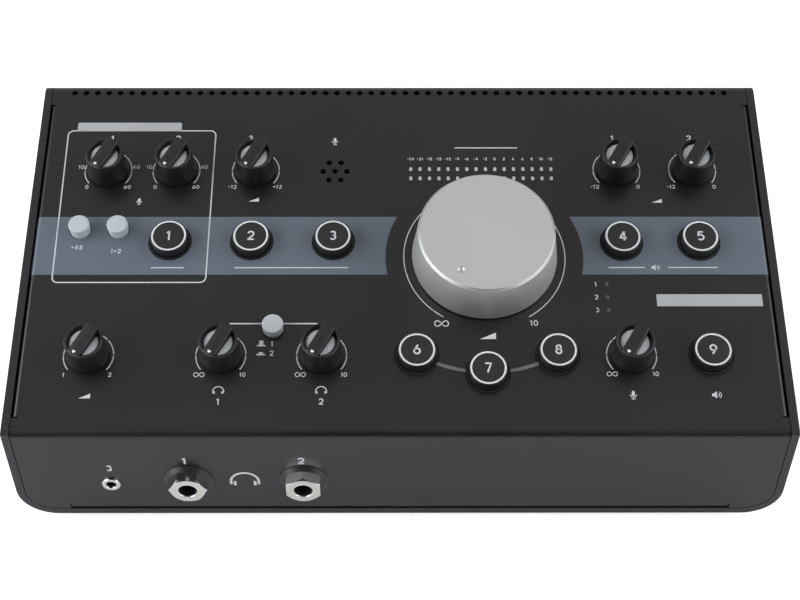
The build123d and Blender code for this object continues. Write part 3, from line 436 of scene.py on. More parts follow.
# ---------------------------------------------------------------- small knobs
# Nine push-on knobs in dark soft-touch plastic: a tapered body with a cup in its top, a grip
# bar across the cup that rises to the back, two pale discs let in beside it, and a white dot.
def at(place, x=0.0, y=0.0, z=0.0, turn=0.0):
    """The same place with its origin moved by x, y and z. Its first axis becomes the cosine of the
    turn times itself plus the sine times the second, and the second stays square to it."""
    angle = np.radians(turn)
    first = np.cos(angle) * place[1] + np.sin(angle) * place[2]
    second = np.cos(angle) * place[2] - np.sin(angle) * place[1]
    return np.array((placed(place, (x, y, z)), first, second, place[3]))


def at_height(outline, height):
    """Flat outline lifted to one height, or to a height for each of its points."""
    outline = np.asarray(outline, float)
    return np.column_stack((outline, np.broadcast_to(height, len(outline))))


def rounded(corners, steps=5):
    """Profile through (radius, height, rounding) corners. Each corner becomes an arc that touches
    both of its runs: the arc's middle lies on the corner's bisector, and its points turn evenly
    from the first touching point to the second. The tiny numbers are for corners in line with
    their neighbours, where the bisector has no length."""
    corners = np.asarray(corners, float)
    point = corners[:, :2]
    before = np.roll(point, 1, 0) - point
    after = np.roll(point, -1, 0) - point
    before /= np.linalg.norm(before, axis=1, keepdims=True)
    after /= np.linalg.norm(after, axis=1, keepdims=True)
    half = np.arccos(np.clip((before * after).sum(1), -1, 1)) / 2
    half = np.minimum(half, np.pi / 2 - 1e-6)
    bisector = before + after + 1e-12
    bisector /= np.linalg.norm(bisector, axis=1, keepdims=True)
    middle = point + bisector * (corners[:, 2] / np.sin(half))[:, None]
    start = point + before * (corners[:, 2] / np.tan(half))[:, None] - middle
    end = point + after * (corners[:, 2] / np.tan(half))[:, None] - middle
    turn = (np.pi - 2 * half)[:, None, None]
    share = np.linspace(0, 1, steps)[None, :, None]
    arcs = (np.sin((1 - share) * turn) * start[:, None] + np.sin(share * turn) * end[:, None]) / np.sin(turn)
    return (middle[:, None] + arcs).reshape(-1, 2)


def turned(profile, columns=96):
    """Surface of revolution: every (radius, height) point of the profile carried round a circle."""
    angle = np.linspace(0, 2 * np.pi, columns, endpoint=False)
    radius, height = profile[:, :1], profile[:, 1:]
    return np.stack((radius * np.cos(angle), radius * np.sin(angle), height + 0 * angle), -1)


def quads(rows, columns, loop=False):
    """Faces of a grid whose columns run round and meet: each joins two neighbours in a row to the
    same two in the next row. In a loop the last row is joined to the first as well."""
    index = np.arange(rows * columns).reshape(rows, columns)
    here = index if loop else index[:-1]
    there = np.roll(index, -1, 0) if loop else index[1:]
    return np.stack((here, np.roll(here, -1, 1), np.roll(there, -1, 1), there), -1).reshape(-1, 4).tolist()


merge_distance, least_edge = 2e-7, 1e-8  # metres
sharp_angle = 38  # degrees


def piece_of(name, mesh, material, body):
    """The object of a finished mesh, in its material and on its body."""
    mesh.materials.append(material)
    piece = bpy.data.objects.new(name, mesh)
    bpy.context.scene.collection.objects.link(piece)
    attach(piece, body)
    return piece


def solid(name, place, points, material, body, stands_for=None, loop=False):
    """Closed skin on a grid of points. Its columns run round and meet; its rows run from one pole
    to the other, or meet as well in a loop. Points that fall together are merged."""
    mesh = bpy.data.meshes.new(name)
    faces = quads(*points.shape[:2], loop)
    mesh.from_pydata(placed(place, points.reshape(-1, 3)).tolist(), [], faces)
    work = bmesh.new()
    work.from_mesh(mesh)
    bmesh.ops.remove_doubles(work, verts=work.verts, dist=merge_distance)
    bmesh.ops.dissolve_degenerate(work, edges=work.edges, dist=least_edge)
    bmesh.ops.recalc_face_normals(work, faces=work.faces)
    work.to_mesh(mesh)
    work.free()
    mesh.polygons.foreach_set("use_smooth", np.ones(len(mesh.polygons), bool))
    mesh.set_sharp_from_angle(angle=np.radians(sharp_angle))
    piece = piece_of(name, mesh, material, body)
    if stands_for:
        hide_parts(stands_for)


shaft_bore = 3.03
knob_foot, knob_skirt = 0.8, 8.0
knob_rim, knob_crown = 12.0, 7.1
cup_mouth, cup_radius = 6.35, 5.3
cup_step, cup_floor = 10.45, 9.7
knob_profile = rounded(
    [
        (shaft_bore, knob_foot, 0.0),
        (knob_skirt, knob_foot, 0.35),
        (knob_crown, knob_rim, 0.4),
        (cup_mouth, knob_rim, 0.25),
        (cup_radius, cup_step, 0.25),
        (cup_radius, cup_floor, 0.0),
        (shaft_bore, cup_floor, 0.0),
    ],
    steps=6,
)
disc_foot, disc_top, disc_radius = 9.75, 10.5, 5.24
disc_gap, disc_pole = 0.04, 1.3
grip_half, grip_reach, grip_bow = 2.5, 6.6, 0.15
grip_foot, grip_low, grip_high = 9.6, 12.3, 14.2
grip_edge, grip_wall, grip_bluntness = 0.45, 1.0, 0.22
crown_insets, crown_drops = (1.0, 1.7, grip_half - 0.02), (-0.05, -0.09, -0.1)
dot_reach, dot_radius, dot_length = 5.2, 0.66, 1.3
dot_foot, dot_top, dot_lift = -0.3, 0.05, 0.04
pointer_angle = 31.0
soft_touch = coated(
    "soft_touch", (0.0060, 0.0060, 0.0070), (0.0085, 0.0085, 0.0097),
    rough=0.42, grain_size=0.35, grain_depth=0.3, dust_amount=0.12,
)
pale_disc = coated(
    "pale_disc", (0.50, 0.515, 0.535), (0.68, 0.695, 0.715),
    rough=0.5, grain_size=0.5, grain_depth=0.6, dust_amount=0.2,
)
dot_white = coated(
    "dot_white", (0.66, 0.67, 0.68), (0.78, 0.79, 0.80),
    rough=0.4, grain_size=0.3, grain_depth=0.2, dust_amount=0.05,
)


def stadium(inset):
    """Outline of the bar seen from above, drawn in by an inset. It runs round a circle of angles; x
    is the reach times the cosine and y the half width times the sine, each raised to the bluntness
    so that the sides are straight, and the ends are then pulled in to a circle round the middle."""
    angle = np.linspace(0, 2 * np.pi, 64, endpoint=False)
    x = (grip_reach - inset) * np.sign(np.cos(angle)) * np.abs(np.cos(angle)) ** grip_bluntness
    y = (grip_half - inset) * np.sign(np.sin(angle)) * np.abs(np.sin(angle)) ** grip_bluntness
    limit = np.sqrt(np.maximum((grip_reach + grip_bow - inset) ** 2 - y**2, 0.01))
    return np.stack((np.clip(x, -limit, limit), y), -1)


def slope_at(x):
    """Height of the grip's top, which rises evenly from the low end to the high end."""
    return grip_low + (grip_high - grip_low) * (x + grip_reach) / (2 * grip_reach)


def grip_bar():
    """Grip: its outline at the foot and below the top, then rings drawn in round the top edge by a
    quarter circle, and a crowned top that closes on the bar's middle line."""
    turn = np.linspace(0, np.pi / 2, 6)
    insets = np.concatenate(([0.0], grip_edge * (1 - np.cos(turn)), crown_insets))
    drops = np.concatenate(([grip_wall], grip_edge * (1 - np.sin(turn)), crown_drops))
    foot = at_height(stadium(0.0), grip_foot)
    rings = [foot * (0, 0, 1), foot]
    for inset, drop in zip(insets, drops):
        ring = stadium(inset)
        rings.append(at_height(ring, slope_at(ring[:, 0]) - drop))
    return np.array(rings)


def half_disc(side):
    """Half of the pale disc: columns run round its D-shaped edge and rows draw in to its middle.
    The edge is the circle where it lies outside the grip, and the grip's side elsewhere."""
    chord_at = grip_half + disc_gap
    end = np.arccos(chord_at / disc_radius)
    angle = np.linspace(-end, end, 40)
    arc_edge = disc_radius * np.stack((np.cos(angle), np.sin(angle)), -1)
    chord = np.stack((np.full(14, chord_at), np.linspace(arc_edge[-1, 1], arc_edge[0, 1], 16)[1:-1]), -1)
    edge = np.concatenate((arc_edge, chord))
    centre = np.array((chord_at + disc_pole, 0.0))
    shares = (0.0, 1.0, 1.0, 0.985, 0.96, 0.6, 0.0)
    crown = disc_top + np.array((-0.1, -0.02, 0.0, 0.04, 0.05))
    rings = [
        at_height(centre + share * (edge - centre), height)
        for share, height in zip(shares, (disc_foot, disc_foot, *crown))
    ]
    return np.array(rings)[..., (1, 0, 2)] * (1, side, 1)


dot_profile = rounded(
    [
        (0.0, dot_foot, 0.0),
        (dot_radius, dot_foot, 0.0),
        (dot_radius, dot_top, 0.04),
        (0.0, dot_top + 0.01, 0.0),
    ],
    steps=4,
)
dot_height = slope_at(-dot_reach) + dot_lift
for number in range(1, 10):
    seat = np.array((joints[f"knob_{number}_turn"]["pos_m"], across, back, out))
    along_grip = at(seat, turn=90.0 - pointer_angle)
    body = f"knob_{number}_turns"
    knob = f"knob_{number}"
    solid(f"knob_body_{number}", seat, turned(knob_profile), soft_touch, body, knob, loop=True)
    solid(f"knob_grip_{number}", along_grip, grip_bar(), soft_touch, body, knob)
    solid(f"knob_disc_left_{number}", along_grip, half_disc(1), pale_disc, body, knob)
    solid(f"knob_disc_right_{number}", along_grip, half_disc(-1), pale_disc, body, knob)
    dot = turned(dot_profile, 32) * (dot_length, 1.0, 1.0)
    solid(f"knob_dot_{number}", at(along_grip, -dot_reach, 0.0, dot_height), dot, dot_white, body)

# ---------------------------------------------------------------- volume dial
# One large turned aluminium dial, pushed on the volume shaft: a blasted satin face, a bright cut
# edge round it, a tapered side and a small drilled dimple that shows where it points. The cut edge's
# colour is painted shade: it is made darker than the face to dim the highlight it catches.
face_radius, face_height = 25.05, 18.7
corner_radius, corner_height = 25.85, 17.9
dial_skirt, dial_foot = 27.9, 0.9
hollow_mouth, hollow_radius, hollow_roof = 25.5, 23.45, 14.7
hub_radius, hub_foot, bore_roof = 7.5, 1.5, 12.8
dimple_reach, dimple_radius, dimple_depth, dimple_angle = 19.4, 1.483, 1.0, 30.6
dial_columns = 360
# The cut edge's colour is painted shade, darker than the face to dim its highlight.
cut_margin, cut_edge_painted_shade = 0.02, (0.46, 0.457, 0.45)

# The face's rings lie round the dimple: they rise out of it by a quarter circle, and their
# columns then run straight out to the rim.
toward = np.radians(-90.0 - dimple_angle)
dimple = dimple_reach * np.array((np.cos(toward), np.sin(toward)))
ray = np.linspace(0, 2 * np.pi, dial_columns, endpoint=False)
ray = np.stack((np.cos(ray), np.sin(ray)), -1)
along = ray @ dimple
to_rim = -along + np.sqrt(along**2 + face_radius**2 - dimple_reach**2)
rim = dimple + to_rim[:, None] * ray
rings = []
for rise in np.radians(np.linspace(0, 90, 8)):
    bowl_ring = dimple + dimple_radius * np.sin(rise) * ray
    rings.append(at_height(bowl_ring, face_height - dimple_depth * np.cos(rise)))
for share in (0.02, 0.15, 0.5, 1.0):
    face_ring = (1 - share) * (dimple + dimple_radius * ray) + share * rim
    rings.append(at_height(face_ring, face_height))

# The side runs from the cut edge down, in under the skirt and up to the bore's roof. The last two
# corners only give the first and last ones their directions, and their arcs are left off.
arc_steps = 5
dial_side = [
    (corner_radius, corner_height, 0.06),
    (dial_skirt, dial_foot, 0.25),
    (hollow_mouth, dial_foot, 0.2),
    (hollow_radius, hollow_roof, 0.5),
    (hub_radius, hollow_roof, 0.5),
    (hub_radius, hub_foot, 0.2),
    (shaft_bore, hub_foot, 0.0),
    (shaft_bore, bore_roof, 0.0),
    (0.0, bore_roof, 0.0),
    (0.0, 14.0, 0.0),
    (24.0, 16.0, 0.0),
]
direction = rim / np.linalg.norm(rim, axis=1, keepdims=True)
for radius, height in rounded(dial_side, arc_steps)[: -2 * arc_steps]:
    rings.append(at_height(radius * direction, height))

volume_seat = np.array((joints["volume_turn"]["pos_m"], across, back, out))
dial_metal = metal(
    "dial_metal", (0.645, 0.637, 0.625), (0.685, 0.677, 0.665),
    rough=0.5, mark_size=0.16, mark_depth=0.35, spread=0.03, Metallic=0.92,
)
tree = dial_metal.node_tree
spot = seated(tree, volume_seat[0], panel_turn)
beyond = maths(tree, "GREATER_THAN", spot["Reach"], (face_radius + cut_margin) * mm)
above = maths(tree, "GREATER_THAN", spot["Out"], (corner_height - cut_margin) * mm)
# Painted shade: the cut edge above the face's rim gets a darker colour that dims its highlight.
overlaid(tree, maths(tree, "MULTIPLY", beyond, above), cut_edge_painted_shade)
dial = np.array(rings)
solid("volume_dial", volume_seat, dial, dial_metal, "volume_turns", "volume_knob")

# ---------------------------------------------------------------- push buttons
# Nine round black caps that slide in a moulded collar, each with a milky ring let into its top
# for the lamp underneath, and a white printed number.
stem_foot, stem_radius = -6.8, 2.5
cap_foot, cap_radius, cap_top, cap_crown = -0.8, 7.1, 4.66, 0.04
groove_inner, groove_outer, groove_floor = 5.97, 6.73, 3.98
ring_play, ring_top = 0.02, 4.68
cap_profile = rounded(
    [
        (0.0, stem_foot, 0.0),
        (stem_radius, stem_foot, 0.1),
        (stem_radius, cap_foot, 0.0),
        (cap_radius, cap_foot, 0.1),
        (cap_radius, cap_top, 0.22),
        (groove_outer, cap_top, 0.0),
        (groove_outer, groove_floor, 0.0),
        (groove_inner, groove_floor, 0.0),
        (groove_inner, cap_top, 0.05),
        (0.0, cap_top + cap_crown, 0.0),
    ],
    steps=6,
)
ring_profile = rounded(
    [
        (groove_inner + ring_play, groove_floor + ring_play, 0.0),
        (groove_outer - ring_play, groove_floor + ring_play, 0.0),
        (groove_outer - ring_play, ring_top, 0.1),
        (groove_inner + ring_play, ring_top, 0.1),
    ],
    steps=5,
)
cap_black = coated(
    "cap_black", (0.0095, 0.0095, 0.010), (0.0125, 0.0125, 0.013),
    rough=0.4, grain_size=0.25, grain_depth=0.22, dust_amount=0.12,
)
ring_milk = coated(
    "ring_milk", (0.62, 0.63, 0.64), (0.72, 0.73, 0.74),
    rough=0.35, grain_size=0.25, grain_depth=0.15, dust_amount=0.05,
)
button_spots = [
    (-89.0, 81.67),
    (-57.39, 81.67),
    (-25.8, 81.67),
    (85.8, 81.37),
    (115.71, 81.37),
    (6.21, 32.27),
    (32.41, 24.77),
    (58.61, 32.27),
    (115.8, 32.27),
]
cap, ring = turned(cap_profile, 80), turned(ring_profile, 80)
for number, (u, v) in enumerate(button_spots, start=1):
    seat = at(panel, u, v)
    body = f"button_{number}_moves"
    button = f"button_{number}"
    solid(f"button_cap_{number}", seat, cap, cap_black, body, button)
    solid(f"button_ring_{number}", seat, ring, ring_milk, body, button, loop=True)

# ---------------------------------------------------------------- latching buttons
# Three small caps of pale moulded plastic on the stems of latching switches, each with a groove
# round it below the top. The third is latched in and stands a millimetre lower.
latch_stem_foot, latch_stem_radius = -6.0, 1.5
latch_foot, latch_flange = -2.0, 3.9
latch_groove_foot, latch_groove_top, latch_waist = 2.3, 3.2, 3.3
latch_radius, latch_top, latch_crown = 4.0, 4.8, 0.04
latch_profile = rounded(
    [
        (0.0, latch_stem_foot, 0.0),
        (latch_stem_radius, latch_stem_foot, 0.1),
        (latch_stem_radius, latch_foot, 0.0),
        (latch_flange, latch_foot, 0.1),
        (latch_flange, latch_groove_foot, 0.15),
        (latch_waist, latch_groove_foot, 0.05),
        (latch_waist, latch_groove_top, 0.05),
        (latch_radius, latch_groove_top, 0.08),
        (latch_radius, latch_top, 0.5),
        (0.0, latch_top + latch_crown, 0.0),
    ],
    steps=7,
)
cap_pale = coated(
    "cap_pale", (0.43, 0.455, 0.48), (0.50, 0.525, 0.55),
    rough=0.4, grain_size=0.3, grain_depth=0.15, dust_amount=0.08,
)
latch_spots = [(-124.11, 87.0, 0.0), (-109.3, 87.0, 0.0), (-47.71, 43.76, -1.0)]
cap = turned(latch_profile, 72)
for number, latch_spot in enumerate(latch_spots, start=1):
    seat = at(panel, *latch_spot)
    latch = f"latch_button_{number}"
    solid(f"latch_cap_{number}", seat, cap, cap_pale, f"latch_{number}_moves", latch)

# ---------------------------------------------------------------- print
# White and grey screen print on the paint: thin arcs and ticks round the controls, a frame,
# scales in plain numbers and simple signs. The ink stands a few hundredths off the sheet.
ink_top, ink_foot = 0.03, -0.02
ink_finish = {"rough": 0.5, "grain_size": 0.2, "grain_depth": 0.3, "dust_amount": 0.1}


def stroke(path, width, closed=False):
    """Flat line of ink: a rectangle of the line's width and the ink's thickness carried along the
    path, square to its direction at every point."""
    path = np.asarray(path, float)
    way = np.roll(path, -1, 0) - np.roll(path, 1, 0) if closed else np.gradient(path, axis=0)
    way /= np.linalg.norm(way, axis=1, keepdims=True)
    sideways = np.stack((-way[:, 1], way[:, 0]), -1) * width / 2
    one_side, other_side = path + sideways, path - sideways
    corners = (
        at_height(one_side, ink_foot),
        at_height(other_side, ink_foot),
        at_height(other_side, ink_top),
        at_height(one_side, ink_top),
    )
    faces = quads(len(path), 4, closed)
    if not closed:
        last = 4 * len(path) - 1
        faces += [[0, 1, 2, 3], [last, last - 1, last - 2, last - 3]]
    return np.stack(corners, 1).reshape(-1, 3), faces


def plate(outline):
    """Flat patch of ink inside an outline: its foot, its top and the wall between them."""
    count = len(outline)
    points = np.concatenate((at_height(outline, ink_foot), at_height(outline, ink_top)))
    ends = [list(range(count))[::-1], list(range(count, 2 * count))]
    return points, quads(2, count) + ends


def arc(x, y, radius, start, end, count=48):
    """Part of a circle, from one angle to another in degrees, anticlockwise from +x."""
    angle = np.radians(np.linspace(start, end, count))
    return np.stack((x + radius * np.cos(angle), y + radius * np.sin(angle)), -1)


def circle(x, y, radius):
    """Whole circle as a closed path."""
    return arc(x, y, radius, 0, 360, 24)[:-1]


def line(*points):
    """Straight runs through points, each with one more point at its middle."""
    points = np.asarray(points, float)
    runs = [np.linspace(a, b, 2, endpoint=False) for a, b in zip(points[:-1], points[1:])]
    return np.concatenate((*runs, points[-1:]))


def moved(path, x, y, size=1.0):
    """A path enlarged and then shifted."""
    return np.asarray(path) * size + (x, y)


# Centre lines of the figures and signs in a plain round face, one high and centred on nought.
round_turn = np.linspace(0, 2 * np.pi, 28, endpoint=False)
closed_lines = {
    "0": [np.stack((0.3 * np.cos(round_turn), 0.43 * np.sin(round_turn)), -1)],
    "6": [circle(0, -0.16, 0.27)],
    "8": [circle(0, 0.215, 0.2), circle(0, -0.19, 0.24)],
    "9": [circle(0, 0.16, 0.27)],
}
open_lines = {
    "1": [line((-0.17, 0.27), (0.05, 0.43)), line((0.05, 0.5), (0.05, -0.5))],
    "2": [
        arc(0, 0.17, 0.26, 165, -35, 18),
        line((0.22, 0.03), (-0.24, -0.4)),
        line((-0.3, -0.43), (0.31, -0.43)),
    ],
    "3": [arc(0, 0.21, 0.215, 150, -90, 18), arc(0, -0.2, 0.235, 90, -150, 18)],
    "4": [
        line((0.1, 0.46), (-0.29, -0.2)),
        line((-0.32, -0.22), (0.33, -0.22)),
        line((0.12, 0.5), (0.12, -0.5)),
    ],
    "5": [
        line((0.25, 0.43), (-0.2, 0.43)),
        line((-0.18, 0.45), (-0.23, -0.02)),
        arc(-0.01, -0.15, 0.28, 145, -140, 20),
    ],
    "6": [line((-0.23, -0.03), (0.1, 0.48))],
    "7": [line((-0.29, 0.43), (0.3, 0.43)), line((0.26, 0.45), (-0.08, -0.5))],
    "9": [line((0.23, 0.03), (-0.1, -0.48))],
    "+": [line((-0.26, 0), (0.26, 0)), line((0, -0.26), (0, 0.26))],
    "-": [line((-0.19, 0), (0.19, 0))],
}
usual_width = 0.82
sign_width = {"1": 0.52, "-": 0.55, "+": 0.7}


def figures(text, x, y, height, weight=0.15):
    """Figures and signs side by side, centred on a spot. Each line's width is a share of the height,
    and the centre lines are drawn in so that the outer edges keep the height."""
    widths = np.array([sign_width.get(sign, usual_width) for sign in text]) * height
    starts = np.concatenate(([0.0], np.cumsum(widths)[:-1])) + widths / 2 - widths.sum() / 2
    size = height * (1 - 0.5 * weight)
    return [
        stroke(moved(path, x + start, y, size), weight * height, closed)
        for sign, start in zip(text, starts)
        for lines, closed in ((closed_lines, True), (open_lines, False))
        for path in lines.get(sign, ())
    ]


def printed(name, place, shapes, material, body):
    """One print from many strokes, patches and figures, joined into a single mesh: the faces of each
    shape count on from the points of the shapes before it."""
    counts = np.cumsum([0] + [len(points) for points, faces in shapes])
    points = np.concatenate([points for points, faces in shapes])
    faces = [[index + first for index in face] for first, shape in zip(counts, shapes) for face in shape[1]]
    mesh = bpy.data.meshes.new(name)
    mesh.from_pydata(placed(place, points).tolist(), [], faces)
    work = bmesh.new()
    work.from_mesh(mesh)
    bmesh.ops.recalc_face_normals(work, faces=work.faces)
    work.to_mesh(mesh)
    work.free()
    piece_of(name, mesh, material, body)


sign_weight = 0.16


def endless(x, y, size):
    """Figure eight on its side: x = cos t and y = 1.25 sin t cos t, both over 1 + sin t squared."""
    t = np.linspace(0, 2 * np.pi, 64, endpoint=False)
    loop = np.stack((np.cos(t), 1.25 * np.sin(t) * np.cos(t)), -1) / (1 + np.sin(t) ** 2)[:, None]
    return [stroke(moved(loop, x, y, size), sign_weight * size, True)]


def headphones(x, y, size):
    """Headphone sign: half a circle with two short straight ends, and a narrow ear pad inside each."""
    bow = np.concatenate(([(-1.0, -0.34)], arc(0, 0, 1, 180, 0, 32), [(1.0, -0.34)]))
    pads = [line((pad_x, -0.47), (pad_x, 0.03)) for pad_x in (-0.72, 0.72)]
    return [
        stroke(moved(bow, x, y, size), 0.18 * size),
        *(stroke(moved(pad, x, y, size), 0.2 * size) for pad in pads),
    ]


def ramp(x, y, size):
    """Level sign: a thin wedge that grows to the right."""
    return [plate(moved([(-1.0, -0.4), (1.0, -0.4), (1.0, 0.5)], x, y, size))]


def microphone(x, y, size):
    """Microphone sign: a capsule in a cradle on a stem and a foot."""
    capsule = np.concatenate((arc(0, 0.45, 0.3, 0, 180, 12), arc(0, -0.05, 0.3, 180, 360, 12)))
    cradle = arc(0, 0.05, 0.62, 190, 350, 24)
    stem, foot = line((0, -0.57), (0, -0.95)), line((-0.4, -0.95), (0.4, -0.95))
    return [
        plate(moved(capsule, x, y, size)),
        *(stroke(moved(path, x, y, size), sign_weight * size) for path in (cradle, stem, foot)),
    ]


def loudspeaker(x, y, size):
    """Loudspeaker sign: a horn-shaped patch and two sound arcs."""
    horn = [(-0.9, -0.3), (-0.5, -0.3), (0.05, -0.8), (0.05, 0.8), (-0.5, 0.3), (-0.9, 0.3)]
    waves = (arc(0.05, 0, 0.45, -50, 50, 16), arc(0.05, 0, 0.85, -50, 50, 20))
    return [
        plate(moved(horn, x, y, size)),
        *(stroke(moved(wave, x, y, size), sign_weight * size) for wave in waves),
    ]


def plunger(x, y, width, height):
    """Latching sign: a flat collar with a block on it, tall for let out and low for pushed in."""
    half, collar = width / 2, 0.55
    head = half * 0.5
    edge = [(-half, 0), (half, 0), (half, collar), (head, collar), (head, collar + height)]
    mirror = [(-a, b) for a, b in edge[:1:-1]]
    return [plate(moved(edge + mirror, x, y))]


# Scales round the knobs: each figure's text and its place from the knob's axis.
figure_height, tick_radius, tick_width = 1.9, 9.3, 0.42
ticks = ((-39, -1), (2, 43), (46, 88), (92, 134), (137, 178), (181, 219))
gain_scale = [("0", -7.9, -7.6), ("60", 8.1, -7.6), ("10", -10.9, 1.8), ("40", 10.9, 1.8)]
boost_scale = [("-12", -8.9, -7.6), ("+12", 8.8, -7.6)]
trim_scale = [("-12", -9.0, -7.8), ("0", 8.0, -7.8)]
blend_scale = [("1", -8.6, -8.0), ("2", 8.6, -8.0)]
phones_scale = [("10", 8.4, -8.0)]
talk_scale = [("10", 8.4, -7.8)]
knob_prints = [
    (-115.7, 114.6, gain_scale),
    (-88.7, 114.6, gain_scale),
    (-57.2, 114.6, boost_scale),
    (86.1, 114.8, trim_scale),
    (116.2, 114.8, trim_scale),
    (-115.9, 32.2, blend_scale),
    (-66.7, 32.2, phones_scale),
    (-29.2, 32.2, phones_scale),
    (86.1, 32.2, talk_scale),
]
white_print = []
for u, v, scale in knob_prints:
    white_print += [stroke(arc(u, v, tick_radius, start, end, 14), tick_width) for start, end in ticks]
    for text, x, y in scale:
        white_print += figures(text, u + x, v + y, figure_height)

# The long arc round the dial.
dial_arc_radius, dial_arc_start, dial_arc_end, dial_arc_width = 31.05, -58.6, 238.6, 0.36
dial_arc = arc(*volume_spot, dial_arc_radius, dial_arc_start, dial_arc_end, 160)
white_print.append(stroke(dial_arc, dial_arc_width))

# Single figures by text, x, y and height, and signs by x, y and size.
lone_figures = [
    ("10", 50.4, 45.8, 2.5),
    ("1", -66.8, 13.2, 2.7),
    ("2", -29.0, 13.2, 2.7),
    ("1", -115.4, 130.2, 3.0),
    ("2", -89.0, 130.2, 3.0),
    ("3", -60.0, 130.2, 3.0),
    ("1", 85.4, 130.2, 3.0),
    ("2", 116.2, 130.2, 3.0),
    ("+48", -124.8, 79.1, 2.1),
    ("1+2", -109.6, 77.4, 2.1),
    ("1", -47.9, 37.0, 2.3),
    ("2", -47.9, 33.1, 2.3),
    ("1", 74.6, 62.6, 2.1),
    ("2", 74.6, 57.0, 2.1),
    ("3", 74.6, 51.4, 2.1),
]
signs = {
    endless: [(15.6, 45.6, 2.6), (-74.4, 24.2, 1.9), (-36.9, 24.2, 1.9), (78.4, 24.4, 1.9)],
    ramp: [(32.9, 40.2, 3.0), (-57.4, 100.9, 2.0), (101.0, 100.3, 2.0), (-115.9, 15.4, 2.2)],
    headphones: [(-66.9, 17.3, 2.0), (-29.1, 17.3, 2.0)],
    microphone: [(-26.0, 129.0, 1.9), (-102.4, 100.4, 1.7), (85.6, 16.0, 1.9)],
    loudspeaker: [(98.0, 70.0, 1.7), (116.2, 15.8, 1.9)],
    plunger: [(-51.9, 36.0, 3.2, 1.8), (-51.9, 32.2, 3.2, 0.8)],
}
for text, x, y, height in lone_figures:
    white_print += figures(text, x, y, height)
for sign, spots in signs.items():
    for sign_spot in spots:
        white_print += sign(*sign_spot)

# Frame round the first controls: its corners, the ways inward from them and where their arcs start.
bend, frame_width = 2.2, 0.5
frame_corners = [
    (-133.4, 133.95, 1, -1, 180),
    (-74.05, 133.95, -1, -1, 90),
    (-74.26, 63.5, -1, 1, 0),
    (-132.95, 63.5, 1, 1, -90),
]
border = np.concatenate(
    [
        arc(x + bend * to_right, y + bend * to_back, bend, start, start - 90, 10)
        for x, y, to_right, to_back, start in frame_corners
    ]
)
white_print.append(stroke(border, frame_width, True))

# Short lines by their left and right ends, their y and their width.
ruled_lines = [
    (-64.1, -31.0, 45.6, 0.55),
    (80.0, 94.0, 70.0, 0.45),
    (103.0, 122.0, 70.0, 0.45),
    (-95.5, -83.0, 70.0, 0.45),
    (-63.5, -20.0, 70.0, 0.45),
    (22.0, 47.0, 125.6, 0.45),
]
for left_end, right_end, y, width in ruled_lines:
    white_print.append(stroke(line((left_end, y), (right_end, y)), width))

meter_left, meter_pitch, meter_level, meter_height = 4.33, 3.7153, 120.25, 1.35
meter_marks = "-24 -21 -18 -15 -12 -9 -6 -4 -2 0 2 4 6 8 10 12".split()
for column, text in enumerate(meter_marks):
    white_print += figures(text, meter_left + column * meter_pitch, meter_level, meter_height)
print_white = coated("print_white", (0.52, 0.53, 0.545), (0.60, 0.61, 0.62), **ink_finish)
printed("panel_print", panel, white_print, print_white, "case")

# Two pale patches: a tab with two rounded corners at the rear left, and a plain bar at the right.
tab_left, tab_right, tab_foot, tab_top, tab_corner = -129.9, -88.0, 133.7, 137.95, 0.7
tab = np.concatenate(
    (
        arc(tab_left + tab_corner, tab_top - tab_corner, tab_corner, 180, 90, 7),
        arc(tab_right - tab_corner, tab_top - tab_corner, tab_corner, 90, 0, 7),
        [(tab_right, tab_foot), (tab_left, tab_foot)],
    )
)
bar_left, bar_right, bar_foot, bar_top = 97.4, 137.5, 53.0, 58.2
bar = [(bar_left, bar_foot), (bar_right, bar_foot), (bar_right, bar_top), (bar_left, bar_top)]
print_pale = coated("print_pale", (0.36, 0.37, 0.385), (0.42, 0.43, 0.445), **ink_finish)
printed("panel_patches", panel, [plate(tab), plate(bar)], print_pale, "case")

link_radius, link_width = 49.9, 1.35
link_arcs = [
    stroke(arc(*volume_spot, link_radius, start, end, 12), link_width)
    for start, end in ((-112.2, -99.6), (-80.4, -67.8))
]
print_grey = coated("print_grey", (0.14, 0.143, 0.148), (0.17, 0.173, 0.178), **ink_finish)
printed("panel_link_arcs", panel, link_arcs, print_grey, "case")

jack_figures = [("1", -79.9, -15.8, 4.0), ("2", -36.7, -15.8, 4.0), ("3", -108.2, -20.2, 3.6)]
jack_weight = 0.19
front_print = headphones(-58.25, -28.4, 5.2)
for text, x, y, height in jack_figures:
    front_print += figures(text, x, y, height, jack_weight)
printed("front_print", front, front_print, print_white, "case")

number_height, number_lift = 4.4, 4.68
for number, (u, v) in enumerate(button_spots, start=1):
    spot = at(panel, u, v, number_lift)
    shapes = figures(str(number), 0, 0, number_height)
    printed(f"button_number_{number}", spot, shapes, print_white, f"button_{number}_moves")

# ---------------------------------------------------------------- floor and studio light
# A pale paper floor, softboxes left and right, and a soft sky that is bright overhead and behind
# and dim in front. What lies in front of the object is dark in its reflections, as if a black
# card lay there, and the floor glows a little for the camera alone.
floor_reach, floor_lines = 4, 41
card_far, card_near = -0.55, -0.22
card_black, paper_dark, paper_light = (0.02, 0.02, 0.02), (0.84, 0.84, 0.84), (0.87, 0.87, 0.87)
no_glow, floor_glow = (0.0, 0.0, 0.0), (0.55, 0.55, 0.55)

